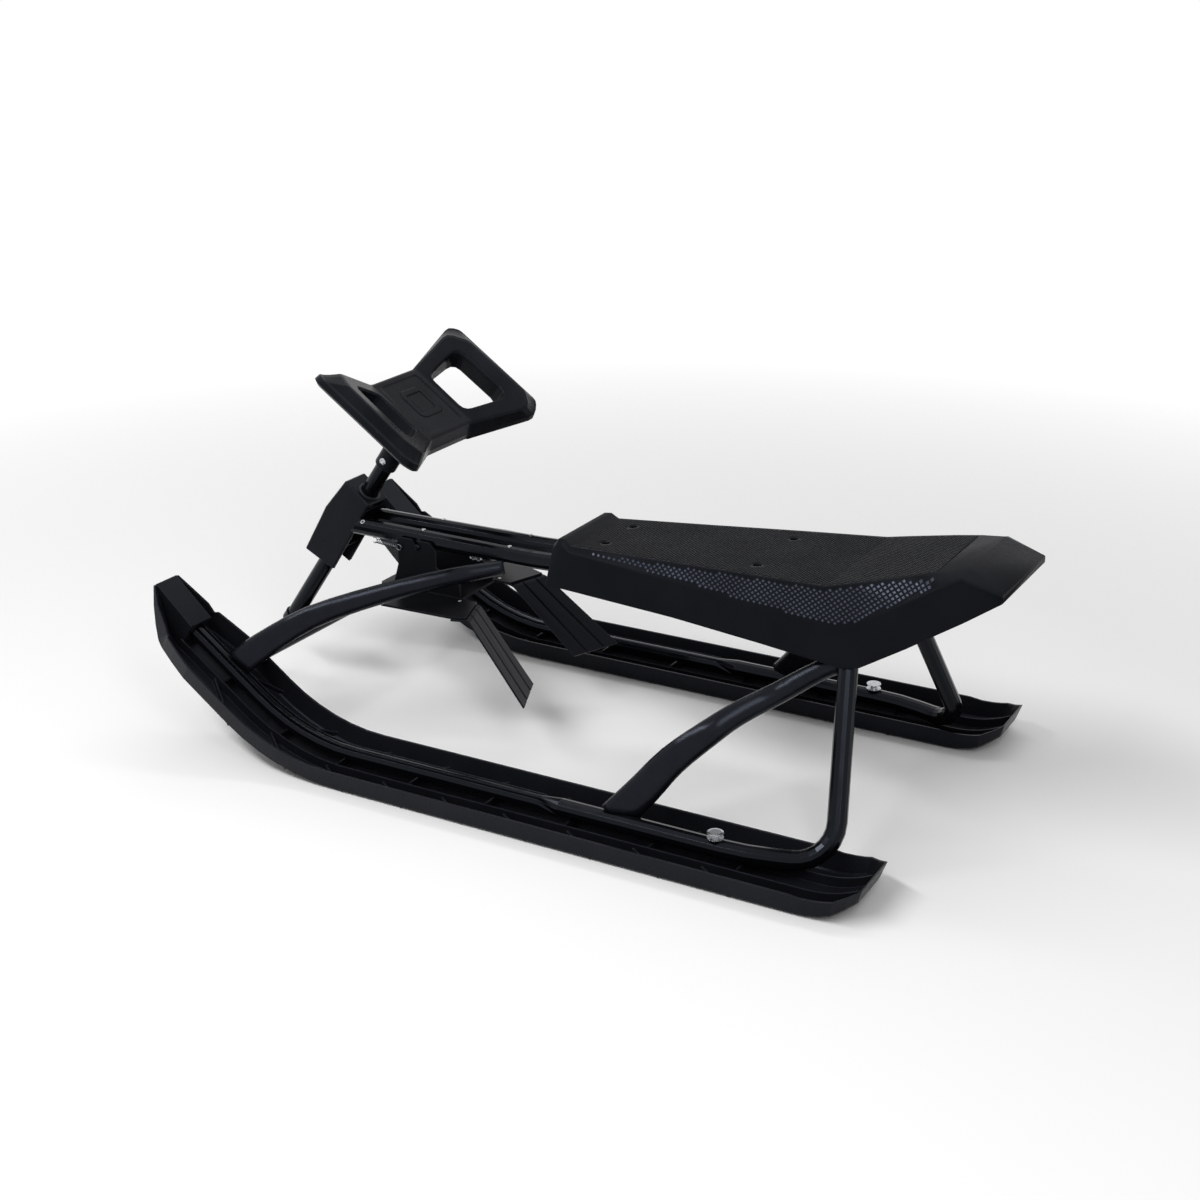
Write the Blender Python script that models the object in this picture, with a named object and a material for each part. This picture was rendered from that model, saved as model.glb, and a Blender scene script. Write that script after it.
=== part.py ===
"""Two-seater steering sled: two long moulded skis on a bent steel tube frame, a moulded seat,
a raked steering column with a hand plate, and a pedal brake with two claws.
Metres, +Z up. X points forward, Y to the rider's left. The mirror plane is Y = 0."""
import math

import bmesh
import bpy
from mathutils import Matrix, Vector

# Clearances
SEAT_GAP = 0.0003        # between pieces that touch
RUN_GAP = 0.0005         # between pieces that turn on each other

# Skis: a tray whose sole is a row of straight runs joined by arcs, seen from the side
SKI_Y = 0.257            # from the mirror plane to the middle of a ski
SKI_SOLE = ((0.0070, 0.0225), (0.0384, 0.0), (0.8455, 0.0), (1.0475, 0.1468), (1.0660, 0.222))
SKI_SOLE_RADII = (0.11, 0.30, 0.035)
SKI_HALF_WIDTH = 0.065   # at the rim
SKI_WALL = 0.003
SKI_WALL_LEAN = 0.007    # how far the rim stands out past the sole, each side
SKI_HEIGHT = 0.030       # from the sole to the rim
SKI_EDGE = 0.004         # chamfer along the sole
TAIL_X = SKI_SOLE[0][0]
TAIL_LEAN = 0.33         # how far the tail wall leans to the rear, by its height
TAIL_LEAN_END = 0.060    # where the walls stand upright again
# Each row of the rim: x, half width, height above the sole
TAIL_RIM = ((TAIL_X, 0.0400, 0.0233), (0.0315, 0.0625, 0.0247), (0.0840, SKI_HALF_WIDTH, SKI_HEIGHT))
NOSE_RIM = ((0.9950, SKI_HALF_WIDTH, SKI_HEIGHT), (1.0200, 0.0595, 0.0305), (1.0475, 0.0520, 0.0320),
            (1.0540, 0.0465, 0.0255), (1.0600, 0.0375, 0.0130), (1.0660, 0.0245, 0.0050))
NOSE_TAPER_X = NOSE_RIM[0][0]
RIB = 0.002              # thickness of the ribs in the tray
CRADLE_RIB_Y = 0.0210    # from the middle of the ski to the long ribs beside the tube
CRADLE_RIB_HEIGHT = 0.0165
BRACE_HEIGHT = 0.0105    # slanting ribs between the long ribs and the side walls
BRACE_PITCH = 0.095
BRACE_RUN = 0.055        # how far along the ski a slanting rib reaches
SADDLES_X = (0.17, 0.29, 0.41, 0.53, 0.65, 0.77, 0.87, 0.965)
NOSE_BOX_TOP = ((1.0043, 0.1717), (1.0618, 0.2244))   # slanting top of the box round the tube's end
NOSE_BOX_FOOT = 1.030    # where on the sole its rear face stands
NOSE_BOX_HALF_WIDTH = 0.0205
RUNNER_END = 0.065       # straight run of the runner past the start of the taper, into the box

# Side frames: one bent tube on each side, from the steering head to the ski's nose
TUBE_R = 0.0125
BEAM_FRONT = (0.925, 0.0232, 0.2605)
BEAM_KINK = (0.600, 0.0285, 0.2605)
BEAM_REAR = (0.117, 0.0676, 0.3045)
LEG_FOOT = (0.063, 0.227)          # where the leg's line meets the runner's height
RUNNER_START_X = 0.165
RUNNER_HEIGHT = 0.028              # from the sole to the middle of the runner tube
KINK_RADIUS = 0.40
TOP_BEND_RADIUS = 0.042
FOOT_BEND_RADIUS = 0.050
RUNNER_BEND_RADIUS = 0.25
GROOVE_X = 0.455                   # forward of here the runner is pressed to two grooves
GROOVE_RAMP = 0.030
TUBE_SIDES = 14

# Struts: bent tubes, flattened at the foot, from the runner to the beam or to the rear leg
FRONT_STRUT = ((0.954, SKI_Y, 0.113), (0.922, 0.2305, 0.142), (0.864, 0.1890, 0.182),
               (0.781, 0.1370, 0.214), (0.701, 0.0870, 0.2365), (0.6425, 0.0405, 0.2465))
REAR_STRUT = ((0.350, SKI_Y, 0.032), (0.3176, 0.2400, 0.0698), (0.2860, 0.2220, 0.1116),
              (0.2500, 0.1950, 0.1458), (0.2233, 0.1650, 0.1669), (0.1858, 0.1300, 0.1890),
              (0.1390, 0.1060, 0.2207), (0.1045, 0.1045, 0.2375))
# Width and thickness at the flattened foot, in the middle and at the top
FRONT_STRUT_SIZES = ((0.0390, 0.0120), (0.0300, 0.0200), (0.0215, 0.0215))
REAR_STRUT_SIZES = ((0.0425, 0.0120), (0.0320, 0.0210), (0.0235, 0.0235))
STRUT_SIDES = 14

# Steering axis, raked back in the mirror plane, and what turns on it
AXIS_X = 0.8570                    # where the axis passes the handle's rivet
AXIS_Z = 0.3611
RAKE = math.radians(35.0)
COLUMN_R = 0.0125
COLUMN_UP = 0.055                  # above the rivet
COLUMN_DOWN = 0.3435               # below the rivet
SOCKET_R = 0.0163
SOCKET_DOWN = 0.013
RIVET_R = 0.0030
RIVET_HEAD_R = 0.0052

# Hand plate, in the steering axis' own frame; its walls run along the axis and the wings are sheared up
PAD_HEIGHT = 0.1074                # from the rivet to the top of the flat middle
WING_FOLD_Y = 0.0525               # from the mirror plane to the fold
WING_RISE = math.radians(22.5)
PLATE_THICKNESS = 0.030
# Outlines of the right half: across, and to the rider's rear; the widest one and the top face's
PLATE_WIDEST = ((0.0470, 0.0635), (0.1480, 0.1000), (0.1660, 0.0850), (0.1660, -0.0780), (0.1570, -0.0905),
                (0.0470, -0.0615))
PLATE_TOP = ((0.0470, 0.0560), (0.1320, 0.0905), (0.1480, 0.0630), (0.1455, -0.0450), (0.1285, -0.0754),
             (0.0470, -0.0590))
PLATE_CORNER_R = 0.014
# Rings of the plate from its lower face up: height against the top face, share of the way from the
# widest outline to the top face's, and how far it is drawn in
PLATE_RINGS = ((-PLATE_THICKNESS, 0.0, 0.0050), (-0.0260, 0.0, 0.0), (-0.0165, 0.10, 0.0), (-0.0152, 0.24, 0.0),
               (-0.0102, 0.52, 0.0), (-0.0046, 0.80, 0.0), (-0.0015, 0.94, 0.0), (0.0, 1.0, 0.0030))
# Outlines of a hand opening at the lower face and at the top face
GRIP_LOW = ((0.0630, 0.0330), (0.1290, 0.0530), (0.1280, -0.0424), (0.0650, -0.0390))
GRIP_TOP = ((0.0605, 0.0345), (0.1241, 0.0570), (0.1229, -0.0486), (0.0613, -0.0374))
GRIP_CORNER_R = 0.014
GRIP_EDGE = 0.0025                 # how far the opening widens at the top face
PANEL_HALF_WIDTH = 0.0435
PANEL_FRONT = -0.0490
PANEL_REAR = 0.0462
PANEL_DEPTH = 0.0012

# Steering head: a folded bracket between the beams, inside a plastic cover
CHEEK_T = 0.0022
COVER_GAP = 0.0006
COVER_T = 0.0030
COVER_HOLE_GAP = 0.0014            # round the column, in the cover's top
COVER_HALF_WIDTH = 0.0235
COVER_SIDE = ((0.9206, 0.3247), (0.8812, 0.2932), (0.9112, 0.2479), (0.9536, 0.1831),
              (1.0026, 0.2075), (0.9601, 0.2793))
WEB_T = 0.0030
UPPER_WEB = 0.087                  # below the rivet, along the axis
LOWER_WEB = 0.162
WEB_REACH = 0.0175                 # from the axis to a web's rear edge
BUSH_FLANGE_R = 0.0158
BUSH_FLANGE_T = 0.0015
BUSH_WALL = 0.0014

# Front cross tube between the runners, with the seat of the column's foot
CROSS_SOLE_X = 0.9665              # where on the sole the cross tube stands
CROSS_R = 0.0080
TONGUE_HALF_WIDTH = 0.017
TONGUE_T = 0.004
FOOT_CUP_R = 0.0150
FOOT_CUP_DEPTH = 0.010
FOOT_CUP_FLOOR = 0.003

# Brake: a foot plate with two cheeks that turns on pins in the beams, and two claws
BRAKE_X = 0.7835
BRAKE_Z = 0.2530
BRAKE_CHEEK_Y = 0.0405             # inner side of a cheek
BRAKE_T = 0.0030
FOOT_PLATE_Z = 0.1850
FOOT_PLATE = ((0.8526, 0.0394), (0.8008, 0.1138), (0.6899, 0.1097), (0.6675, 0.1010),
              (0.6868, 0.0437), (0.712, 0.0437))
BRAKE_CHEEK = ((0.830, 0.1850), (0.8185, 0.2230), (0.8185, 0.2625), (0.7640, 0.2620),
               (0.7545, 0.2520), (0.7545, 0.2260), (0.7150, 0.2070), (0.7150, 0.1850))
BRAKE_PIN_R = 0.0030
BRAKE_PIN_HEAD_R = 0.0044
BRAKE_SLOT_LEAN = math.radians(56.0)
# Corners of the claw's slope: where it bends from the flange, and its end; inner, then outer
CLAW_BEND = ((0.6814, 0.0437), (0.6619, 0.1022))
CLAW_END = ((0.5880, 0.0565, 0.0888), (0.5572, 0.1302, 0.0882))
CLAW_FLANGE = 0.026
CLAW_T = 0.0026
CLAW_BEND_REACH = 0.0035           # from the bend's corner to the start of its rounding
# Shares of the claw's width where its two grooves start, are deepest and end
CLAW_GROOVES = ((0.270, 0.3025, 0.335), (0.655, 0.6875, 0.720))
CLAW_GROOVE = 0.0030
CLAW_NOTCH = 0.0035
SPRING_R = 0.0032
SPRING_WIRE_R = 0.0006
SPRING_TURNS = 11
SPRING_HOOK_X = 0.858
SPRING_SCREW = (0.8125, 0.2500)

# Seat: a moulded shell with a raised tail; half sections from front to rear
SEAT_WALL = 0.0035
SEAT_FRONT_X = 0.548
# Each row: x and height of the top edge, its half width, then the same for the side's upper
# edge and for the skirt's lower edge
SEAT_ROWS = (
    ((0.5480, 0.3030, 0.0600), (0.5480, 0.2985, 0.0650), (0.5480, 0.2520, 0.0860)),
    ((0.5400, 0.3120, 0.0620), (0.5400, 0.3050, 0.0680), (0.5400, 0.2520, 0.0865)),
    ((0.5300, 0.3130, 0.0635), (0.5300, 0.3055, 0.0705), (0.5300, 0.2520, 0.0870)),
    ((0.5200, 0.3055, 0.0665), (0.5180, 0.2990, 0.0735), (0.5150, 0.2520, 0.0885)),
    ((0.3800, 0.3145, 0.0800), (0.3600, 0.2945, 0.0930), (0.3500, 0.2485, 0.1010)),
    ((0.2600, 0.3225, 0.0920), (0.2400, 0.2870, 0.1060), (0.2200, 0.2415, 0.1110)),
    ((0.1410, 0.3300, 0.1035), (0.1210, 0.2830, 0.1180), (0.1056, 0.2357, 0.1240)),
    ((0.1080, 0.3380, 0.0990), (0.0975, 0.2895, 0.1170), (0.0836, 0.2405, 0.1220)),
    ((0.0420, 0.3540, 0.0870), (0.0420, 0.3230, 0.1070), (0.0300, 0.2720, 0.1110)),
    ((0.0050, 0.3630, 0.0770), (0.0020, 0.3490, 0.0980), (-0.0040, 0.2940, 0.1050)),
    ((-0.0271, 0.3705, 0.0640), (-0.0240, 0.3630, 0.0880), (-0.0330, 0.3120, 0.0980)),
    ((-0.0734, 0.3487, 0.0805), (-0.0745, 0.3470, 0.0825), (-0.0745, 0.3390, 0.0825)),
)
SEAT_HOLES_X = (0.4819, 0.2519)
BOSS_R = 0.0095
RECESS_R = 0.0060
BOLT_FLOOR = 0.006                 # thickness of a boss under its bolt's head
SEAT_BOLT_R = 0.0030
SEAT_BOLT_HEAD_R = 0.0050
SEAT_BOLT_HEAD = 0.004
BOLT_DEPTH = 0.012                 # how far a bolt goes into a tube

# Bolts that show
RUNNER_BOLT_X = 0.207
DISC_R = 0.0105
DISC_T = 0.0014
DISC_RISE = 0.0090
STRUT_BOLT = (0.683, 0.2470)
BEAM_RIVETS_X = (0.785, 0.640)
SMALL_HEAD_R = 0.0046
SMALL_HEAD = 0.0026
SMALL_SHANK_R = 0.0022
ROUND_SIDES = 16

# The origin lies under the middle of the overall length
REAR_END = min(point[0] for row in SEAT_ROWS for point in row)
CUP_END = COLUMN_DOWN + SEAT_GAP + FOOT_CUP_FLOOR
CUP_FRONT = AXIS_X + CUP_END * math.sin(RAKE) + FOOT_CUP_R * math.cos(RAKE)
FRONT_END = max(CUP_FRONT, max(point[0] for point in SKI_SOLE))
ORIGIN_X = (REAR_END + FRONT_END) / 2

# The bracket's cheeks lie just inside the cover's walls
CHEEK_INNER_Y = COVER_HALF_WIDTH - COVER_T - COVER_GAP - CHEEK_T

AXIS_DIR = Vector((-math.sin(RAKE), 0.0, math.cos(RAKE)))
AXIS_POINT = Vector((AXIS_X, 0.0, AXIS_Z))


# Scene and materials

def clear_scene():
    for obj in list(bpy.data.objects):
        bpy.data.objects.remove(obj, do_unlink=True)


def make_material(name, rgb, roughness, metallic):
    material = bpy.data.materials.new(name)
    material.use_nodes = True
    shader = material.node_tree.nodes["Principled BSDF"]
    shader.inputs["Base Color"].default_value = (*rgb, 1.0)
    shader.inputs["Roughness"].default_value = roughness
    shader.inputs["Metallic"].default_value = metallic
    return material


def make_empty(name, location, parent=None, rotation=(0.0, 0.0, 0.0)):
    empty = bpy.data.objects.new(name, None)
    empty.empty_display_size = 0.04
    empty.location = location
    empty.rotation_euler = rotation
    empty.parent = parent
    bpy.context.scene.collection.objects.link(empty)
    return empty


def add_object(name, bm, material, parent, is_tool=False):
    bmesh.ops.recalc_face_normals(bm, faces=bm.faces)
    mesh = bpy.data.meshes.new(name)
    bm.to_mesh(mesh)
    bm.free()
    mesh.materials.append(material)
    mesh.shade_smooth()
    mesh.set_sharp_from_angle(angle=math.radians(32.0))
    obj = bpy.data.objects.new(name, mesh)
    obj.parent = parent
    bpy.context.scene.collection.objects.link(obj)
    if is_tool:
        obj.hide_render = True
        obj.display_type = "WIRE"
    return obj


def combine(obj, tool, operation):
    modifier = obj.modifiers.new(f"{operation.lower()} {tool.name}", "BOOLEAN")
    modifier.operation = operation
    modifier.solver = "EXACT"
    modifier.object = tool


# Curves

def rounded_path(corners, radii, step_deg=9.0):
    """Points of a bent bar: straight runs joined by arcs of the given radii."""
    corners = [Vector(corner) for corner in corners]
    points = [corners[0]]
    for before, corner, after, radius in zip(corners, corners[1:], corners[2:], radii):
        first = (corner - before).normalized()
        second = (after - corner).normalized()
        turn = first.angle(second)
        reach = radius * math.tan(turn / 2)
        bend_axis = first.cross(second).normalized()
        start = corner - first * reach
        centre = start + bend_axis.cross(first) * radius
        steps = max(2, math.ceil(math.degrees(turn) / step_deg))
        for index in range(steps + 1):
            swing = Matrix.Rotation(turn * index / steps, 3, bend_axis)
            points.append(centre + swing @ (start - centre))
    points.append(corners[-1])
    return points


def smooth_path(knots, steps):
    """A curve through the knots, with even steps between each two."""
    knots = [Vector(knot) for knot in knots]
    ends = [knots[0] * 2 - knots[1], *knots, knots[-1] * 2 - knots[-2]]
    points = [knots[0]]
    for before, start, end, after in zip(ends, ends[1:], ends[2:], ends[3:]):
        for index in range(1, steps + 1):
            points.append(catmull(before, start, end, after, index / steps))
    return points


def catmull(before, start, end, after, t):
    return 0.5 * (2 * start + (end - before) * t + (2 * before - 5 * start + 4 * end - after) * t ** 2
                  + (3 * start - before - 3 * end + after) * t ** 3)


def tangents(points):
    last = len(points) - 1
    return [(points[min(i + 1, last)] - points[max(i - 1, 0)]).normalized() for i in range(last + 1)]


def interpolate(rows, x):
    """Straight-line value at x in rows of (x, value)."""
    if x <= rows[0][0]:
        return rows[0][1]
    for (x0, v0), (x1, v1) in zip(rows, rows[1:]):
        if x <= x1:
            return v0 + (v1 - v0) * (x - x0) / (x1 - x0)
    return rows[-1][1]


# Solids

def loft(rings):
    """A closed solid through rings of equal point counts, with flat ends."""
    bm = bmesh.new()
    rows = [[bm.verts.new(point) for point in ring] for ring in rings]
    count = len(rows[0])
    for lower, upper in zip(rows, rows[1:]):
        for i in range(count):
            j = (i + 1) % count
            bm.faces.new((lower[i], lower[j], upper[j], upper[i]))
    bm.faces.new(rows[0])
    bm.faces.new(rows[-1])
    return bm


def ellipse(width, thickness, sides):
    angles = [2 * math.pi * i / sides for i in range(sides)]
    return [(math.cos(a) * width / 2, math.sin(a) * thickness / 2) for a in angles]


def turned(profile, sides=ROUND_SIDES):
    """A turned solid about Z from (radius, height) points; both ends close on the axis."""
    bm = bmesh.new()
    rings = []
    for radius, height in profile:
        if radius <= 0:
            rings.append([bm.verts.new((0, 0, height))])
            continue
        angles = [2 * math.pi * i / sides for i in range(sides)]
        rings.append([bm.verts.new((radius * math.cos(a), radius * math.sin(a), height)) for a in angles])
    for lower, upper in zip(rings, rings[1:]):
        for i in range(sides):
            j = (i + 1) % sides
            corners = [lower[i % len(lower)], lower[j % len(lower)], upper[j % len(upper)], upper[i % len(upper)]]
            bm.faces.new(list(dict.fromkeys(corners)))
    if len(rings[0]) > 1:
        bm.faces.new(rings[0])
    if len(rings[-1]) > 1:
        bm.faces.new(rings[-1])
    return bm


def ring_solid(profile, sides=ROUND_SIDES):
    """A turned ring about Z from a closed profile of (radius, height) points."""
    bm = bmesh.new()
    angles = [2 * math.pi * i / sides for i in range(sides)]
    rows = [[bm.verts.new((r * math.cos(a), r * math.sin(a), h)) for r, h in profile] for a in angles]
    for first, second in zip(rows, rows[1:] + rows[:1]):
        for i in range(len(profile)):
            j = (i + 1) % len(profile)
            bm.faces.new((first[i], first[j], second[j], second[i]))
    return bm


def prism(outline, low, high, place):
    """An extruded outline; place turns (a, b, depth) into a point."""
    bm = bmesh.new()
    bottom = [bm.verts.new(place(a, b, low)) for a, b in outline]
    top = [bm.verts.new(place(a, b, high)) for a, b in outline]
    bm.faces.new(bottom)
    bm.faces.new(list(reversed(top)))
    for i in range(len(outline)):
        j = (i + 1) % len(outline)
        bm.faces.new((bottom[i], top[i], top[j], bottom[j]))
    return bm


def place_xz(x, z, y):
    return Vector((x, y, z))


def place_xy(x, y, z):
    return Vector((x, y, z))


def rounded_outline(corners, radius, steps=3):
    """A closed outline whose corners are arcs of one radius."""
    points = []
    count = len(corners)
    for i in range(count):
        before, corner, after = (Vector(corners[(i + k) % count]) for k in (-1, 0, 1))
        first = (corner - before).normalized()
        second = (after - corner).normalized()
        turn = first.angle(second)
        reach = min(radius * math.tan(turn / 2), (corner - before).length * 0.45, (after - corner).length * 0.45)
        start = corner - first * reach
        end = corner + second * reach
        for index in range(steps + 1):
            t = index / steps
            points.append(tuple(start * (1 - t) ** 2 + corner * 2 * t * (1 - t) + end * t ** 2))
    return points


def move(bm, matrix):
    bmesh.ops.transform(bm, matrix=matrix, verts=bm.verts)
    return bm


def pointing(direction, point):
    """A frame at point whose Z runs along direction."""
    return Matrix.Translation(point) @ Vector(direction).to_track_quat("Z", "Y").to_matrix().to_4x4()


def mirrored(point, side):
    return Vector((point[0], point[1] * side, point[2]))


# Skis

def sole_path():
    return rounded_path([(x, 0.0, z) for x, z in SKI_SOLE], SKI_SOLE_RADII, 7.0)


def sole_frame(x):
    """Point on the sole at x, with the direction along it and the direction up from it."""
    points = sole_path()
    along = tangents(points)
    index = 0
    while index < len(points) - 2 and x > points[index + 1].x:
        index += 1
    start, end = points[index], points[index + 1]
    t = (x - start.x) / (end.x - start.x)
    run = along[index].lerp(along[index + 1], t).normalized()
    up = Vector((-run.z, 0.0, run.x))
    if x < TAIL_LEAN_END:
        share = max(0.0, (x - TAIL_X) / (TAIL_LEAN_END - TAIL_X))
        up = Vector((-TAIL_LEAN * (1 - share), 0.0, 1.0)).normalized()
    return start.lerp(end, t), run, up


def in_ski(x, across, height):
    """A point in the ski's own frame: along x, across from its middle, and up from the sole."""
    point, along, up = sole_frame(x)
    return point + up * height + Vector((0.0, across, 0.0))


def rim_half_width(x):
    return interpolate([(row[0], row[1]) for row in (*TAIL_RIM, *NOSE_RIM)], x)


def rim_height(x):
    return interpolate([(row[0], row[2]) for row in (*TAIL_RIM, *NOSE_RIM)], x)


def ski_stations():
    """Positions along the ski where its sections stand, none of them crowded together."""
    stops = [row[0] for row in (*TAIL_RIM, *NOSE_RIM)] + [0.30, 0.52]
    for point in sole_path():
        if all((point - sole_frame(x)[0]).length > 0.0028 for x in stops):
            stops.append(point.x)
    return sorted(stops)


def ski_section(x, x_at, inset):
    """Section of the tray for station x, standing at x_at; inset moves it inward by the wall."""
    rim = rim_half_width(x)
    height = rim_height(x)
    lean = SKI_WALL_LEAN / SKI_HEIGHT
    foot = rim - lean * height
    edge = min(SKI_EDGE, height * 0.4)
    half = [(foot - edge, inset), (foot + lean * edge - inset, edge + inset * 0.4),
            (rim - inset, height)]
    return [in_ski(x_at, -a, h) for a, h in reversed(half)] + [in_ski(x_at, a, h) for a, h in half]


def ski_body():
    """The empty tray: an outer and an inner skin that meet along the rim."""
    stations = ski_stations()
    first, last = stations[0], stations[-1]
    bm = bmesh.new()
    outer = [[bm.verts.new(p) for p in ski_section(x, x, 0.0)] for x in stations]
    inner = []
    for x in stations:
        shift = sole_frame(x)[1].x * SKI_WALL
        x_at = x + shift if x == first else x - shift if x == last else x
        inner.append([bm.verts.new(p) for p in ski_section(x, x_at, SKI_WALL)])
    for skin in (outer, inner):
        for behind, ahead in zip(skin, skin[1:]):
            for i in range(len(behind) - 1):
                bm.faces.new((behind[i], behind[i + 1], ahead[i + 1], ahead[i]))
        bm.faces.new(skin[0])
        bm.faces.new(skin[-1])
    for i in (0, -1):
        for o0, o1, n0, n1 in zip(outer, outer[1:], inner, inner[1:]):
            bm.faces.new((o0[i], o1[i], n1[i], n0[i]))
        bm.faces.new((outer[i][0], outer[i][-1], inner[i][-1], inner[i][0]))
    return bm


def rib_between(stops, height, sunk, thickness=RIB):
    """A rib through (x, across) stops, sunk by a share of the floor and of a given height above the sole."""
    rings = []
    count = len(stops)
    for i, (x, across) in enumerate(stops):
        ahead = stops[min(i + 1, count - 1)]
        behind = stops[max(i - 1, 0)]
        run = Vector((ahead[0] - behind[0], ahead[1] - behind[1])).normalized() * thickness / 2
        low = SKI_WALL * (1 - sunk)
        left = in_ski(x - run.y, across + run.x, low), in_ski(x - run.y, across + run.x, height)
        right = in_ski(x + run.y, across - run.x, height), in_ski(x + run.y, across - run.x, low)
        rings.append([left[0], left[1], right[0], right[1]])
    return loft(rings)


def long_stops(first, last, across):
    """Stops of a rib along the ski, each between two of the ski's own sections."""
    stations = ski_stations()
    middles = [low * 0.45 + high * 0.55 for low, high in zip(stations, stations[1:])]
    inner = [x for x in middles if first + 0.004 < x < last - 0.004]
    return [(x, across) for x in [first, *inner, last]]


def ski_ribs():
    ribs = []
    for side in (-1, 1):
        stops = long_stops(TAIL_X + 0.008, NOSE_BOX_FOOT + 0.004, side * CRADLE_RIB_Y)
        ribs.append(rib_between(stops, CRADLE_RIB_HEIGHT, 0.5))
        bays = int((NOSE_TAPER_X - 0.12) / BRACE_PITCH)
        for bay in range(bays):
            inner_x = NOSE_TAPER_X - 0.02 - bay * BRACE_PITCH
            outer = SKI_HALF_WIDTH - SKI_WALL_LEAN
            steps = 3
            stops = [(inner_x - BRACE_RUN * k / steps,
                      side * (CRADLE_RIB_Y + (outer - CRADLE_RIB_Y) * k / steps)) for k in range(steps + 1)]
            ribs.append(rib_between(stops, BRACE_HEIGHT, 0.4))
    saddle_height = RUNNER_HEIGHT - TUBE_R - SEAT_GAP
    for x in SADDLES_X:
        stops = [(x, -CRADLE_RIB_Y), (x, CRADLE_RIB_Y)]
        ribs.append(rib_between(stops, saddle_height, 0.6, RIB * 1.5))
    return ribs


def nose_box():
    """The moulded box at the nose that takes the end of the runner tube."""
    low = SKI_WALL * 0.55
    last = SKI_SOLE[-1][0] - 0.0004
    stops = [x for x in ski_stations() if NOSE_BOX_FOOT + 0.003 < x < last - 0.002]
    foot = [in_ski(x, 0.0, low) for x in [NOSE_BOX_FOOT, *stops, last]]
    outline = [*NOSE_BOX_TOP] + [(point.x, point.z) for point in reversed(foot)]
    return prism(outline, -NOSE_BOX_HALF_WIDTH, NOSE_BOX_HALF_WIDTH, place_xz)


def build_ski(name, side, material, root):
    centre = make_empty(f"{name}_middle", (0.0, side * SKI_Y, 0.0), root)
    ski = add_object(name, ski_body(), material, centre)
    for index, rib in enumerate(ski_ribs()):
        combine(ski, add_object(f"{name}_rib_{index}", rib, material, centre, is_tool=True), "UNION")
    combine(ski, add_object(f"{name}_box", nose_box(), material, centre, is_tool=True), "UNION")
    combine(ski, add_object(f"{name}_notch", cross_notch(side), material, root, is_tool=True), "DIFFERENCE")
    return ski


def cross_centre():
    """Middle of the front cross tube, level with the runners that it joins."""
    return in_ski(CROSS_SOLE_X, 0.0, RUNNER_HEIGHT)


def cross_notch(side):
    """Slot in a ski's inner wall, open at the rim, that the cross tube comes through."""
    middle = cross_centre()
    up = sole_frame(CROSS_SOLE_X)[2]
    turn = math.atan2(up.z, up.x)
    radius = CROSS_R + RUN_GAP
    steps = 8
    outline = []
    for index in range(steps + 1):
        angle = turn + math.pi / 2 + math.pi * index / steps
        outline.append((middle.x + radius * math.cos(angle), middle.z + radius * math.sin(angle)))
    for x, z in (outline[-1], outline[0]):
        outline.append((x + up.x * 0.03, z + up.z * 0.03))
    ends = sorted((side * (SKI_Y - SKI_HALF_WIDTH - 0.01), side * (SKI_Y - CRADLE_RIB_Y)))
    return prism(outline, ends[0], ends[1], place_xz)


# Side frames

def runner_points():
    """The runner tube above the sole, from the rear bend to the nose box."""
    stops = [0.30, GROOVE_X - GROOVE_RAMP, GROOVE_X, 0.60]
    stops += [x for x in ski_stations() if 0.70 < x < NOSE_TAPER_X + 0.001]
    points = [in_ski(x, SKI_Y, RUNNER_HEIGHT) for x in sorted(stops)]
    return points + [points[-1] + sole_frame(NOSE_TAPER_X)[1] * RUNNER_END]


def frame_points():
    foot = Vector((LEG_FOOT[0], LEG_FOOT[1], RUNNER_HEIGHT))
    start = Vector((RUNNER_START_X, SKI_Y, RUNNER_HEIGHT))
    corners = [BEAM_FRONT, BEAM_KINK, BEAM_REAR, foot, start, start + Vector((0.05, 0.0, 0.0))]
    bent = rounded_path(corners, (KINK_RADIUS, TOP_BEND_RADIUS, FOOT_BEND_RADIUS, RUNNER_BEND_RADIUS), 14.0)
    return bent + runner_points()


def grooved_section(radius, grooved):
    """A ring of the tube: round, or pressed to a flat-bottomed shape with two grooves on top."""
    sides = TUBE_SIDES
    ring = []
    pressed = ((0.0, 0.74), (0.24, 0.72), (0.38, 0.34), (0.58, 0.34), (0.74, 0.66), (0.96, 0.20), (0.96, -0.28),
               (0.72, -0.66))
    half = sides // 2
    for i in range(sides):
        angle = math.pi / 2 - 2 * math.pi * i / sides
        round_point = Vector((math.cos(angle), math.sin(angle)))
        k = i if i <= half else sides - i
        a, b = pressed[k] if k < half else (0.0, -0.72)
        target = Vector((a if i <= half else -a, b))
        ring.append(tuple(round_point.lerp(target, grooved) * radius))
    return ring


def carried_frames(points):
    """Side and up directions carried along a path without twist, starting level."""
    along = tangents(points)
    up = Vector((0.0, 0.0, 1.0))
    frames = []
    for previous, tangent in zip([along[0], *along], along):
        up = previous.rotation_difference(tangent) @ up
        up = (up - tangent * up.dot(tangent)).normalized()
        frames.append((tangent.cross(up).normalized(), up))
    return frames


def side_tube_solid(side, growth=0.0, grooves=True, extra=0.0):
    points = [mirrored(point, side) for point in frame_points()]
    points[-1] = points[-1] + tangents(points)[-1] * extra
    # The path is followed from the nose, so the grooves stay on top of the runner
    points.reverse()
    rings = []
    for point, (across, up) in zip(points, carried_frames(points)):
        on_runner = point.z < 0.2 and point.x > GROOVE_X - GROOVE_RAMP / 2
        section = grooved_section(TUBE_R + growth, 1.0 if on_runner and grooves else 0.0)
        rings.append([point + across * a + up * b for a, b in section])
    return loft(rings)


def build_side_tube(name, side, material, root):
    return add_object(name, side_tube_solid(side), material, root)


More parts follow.
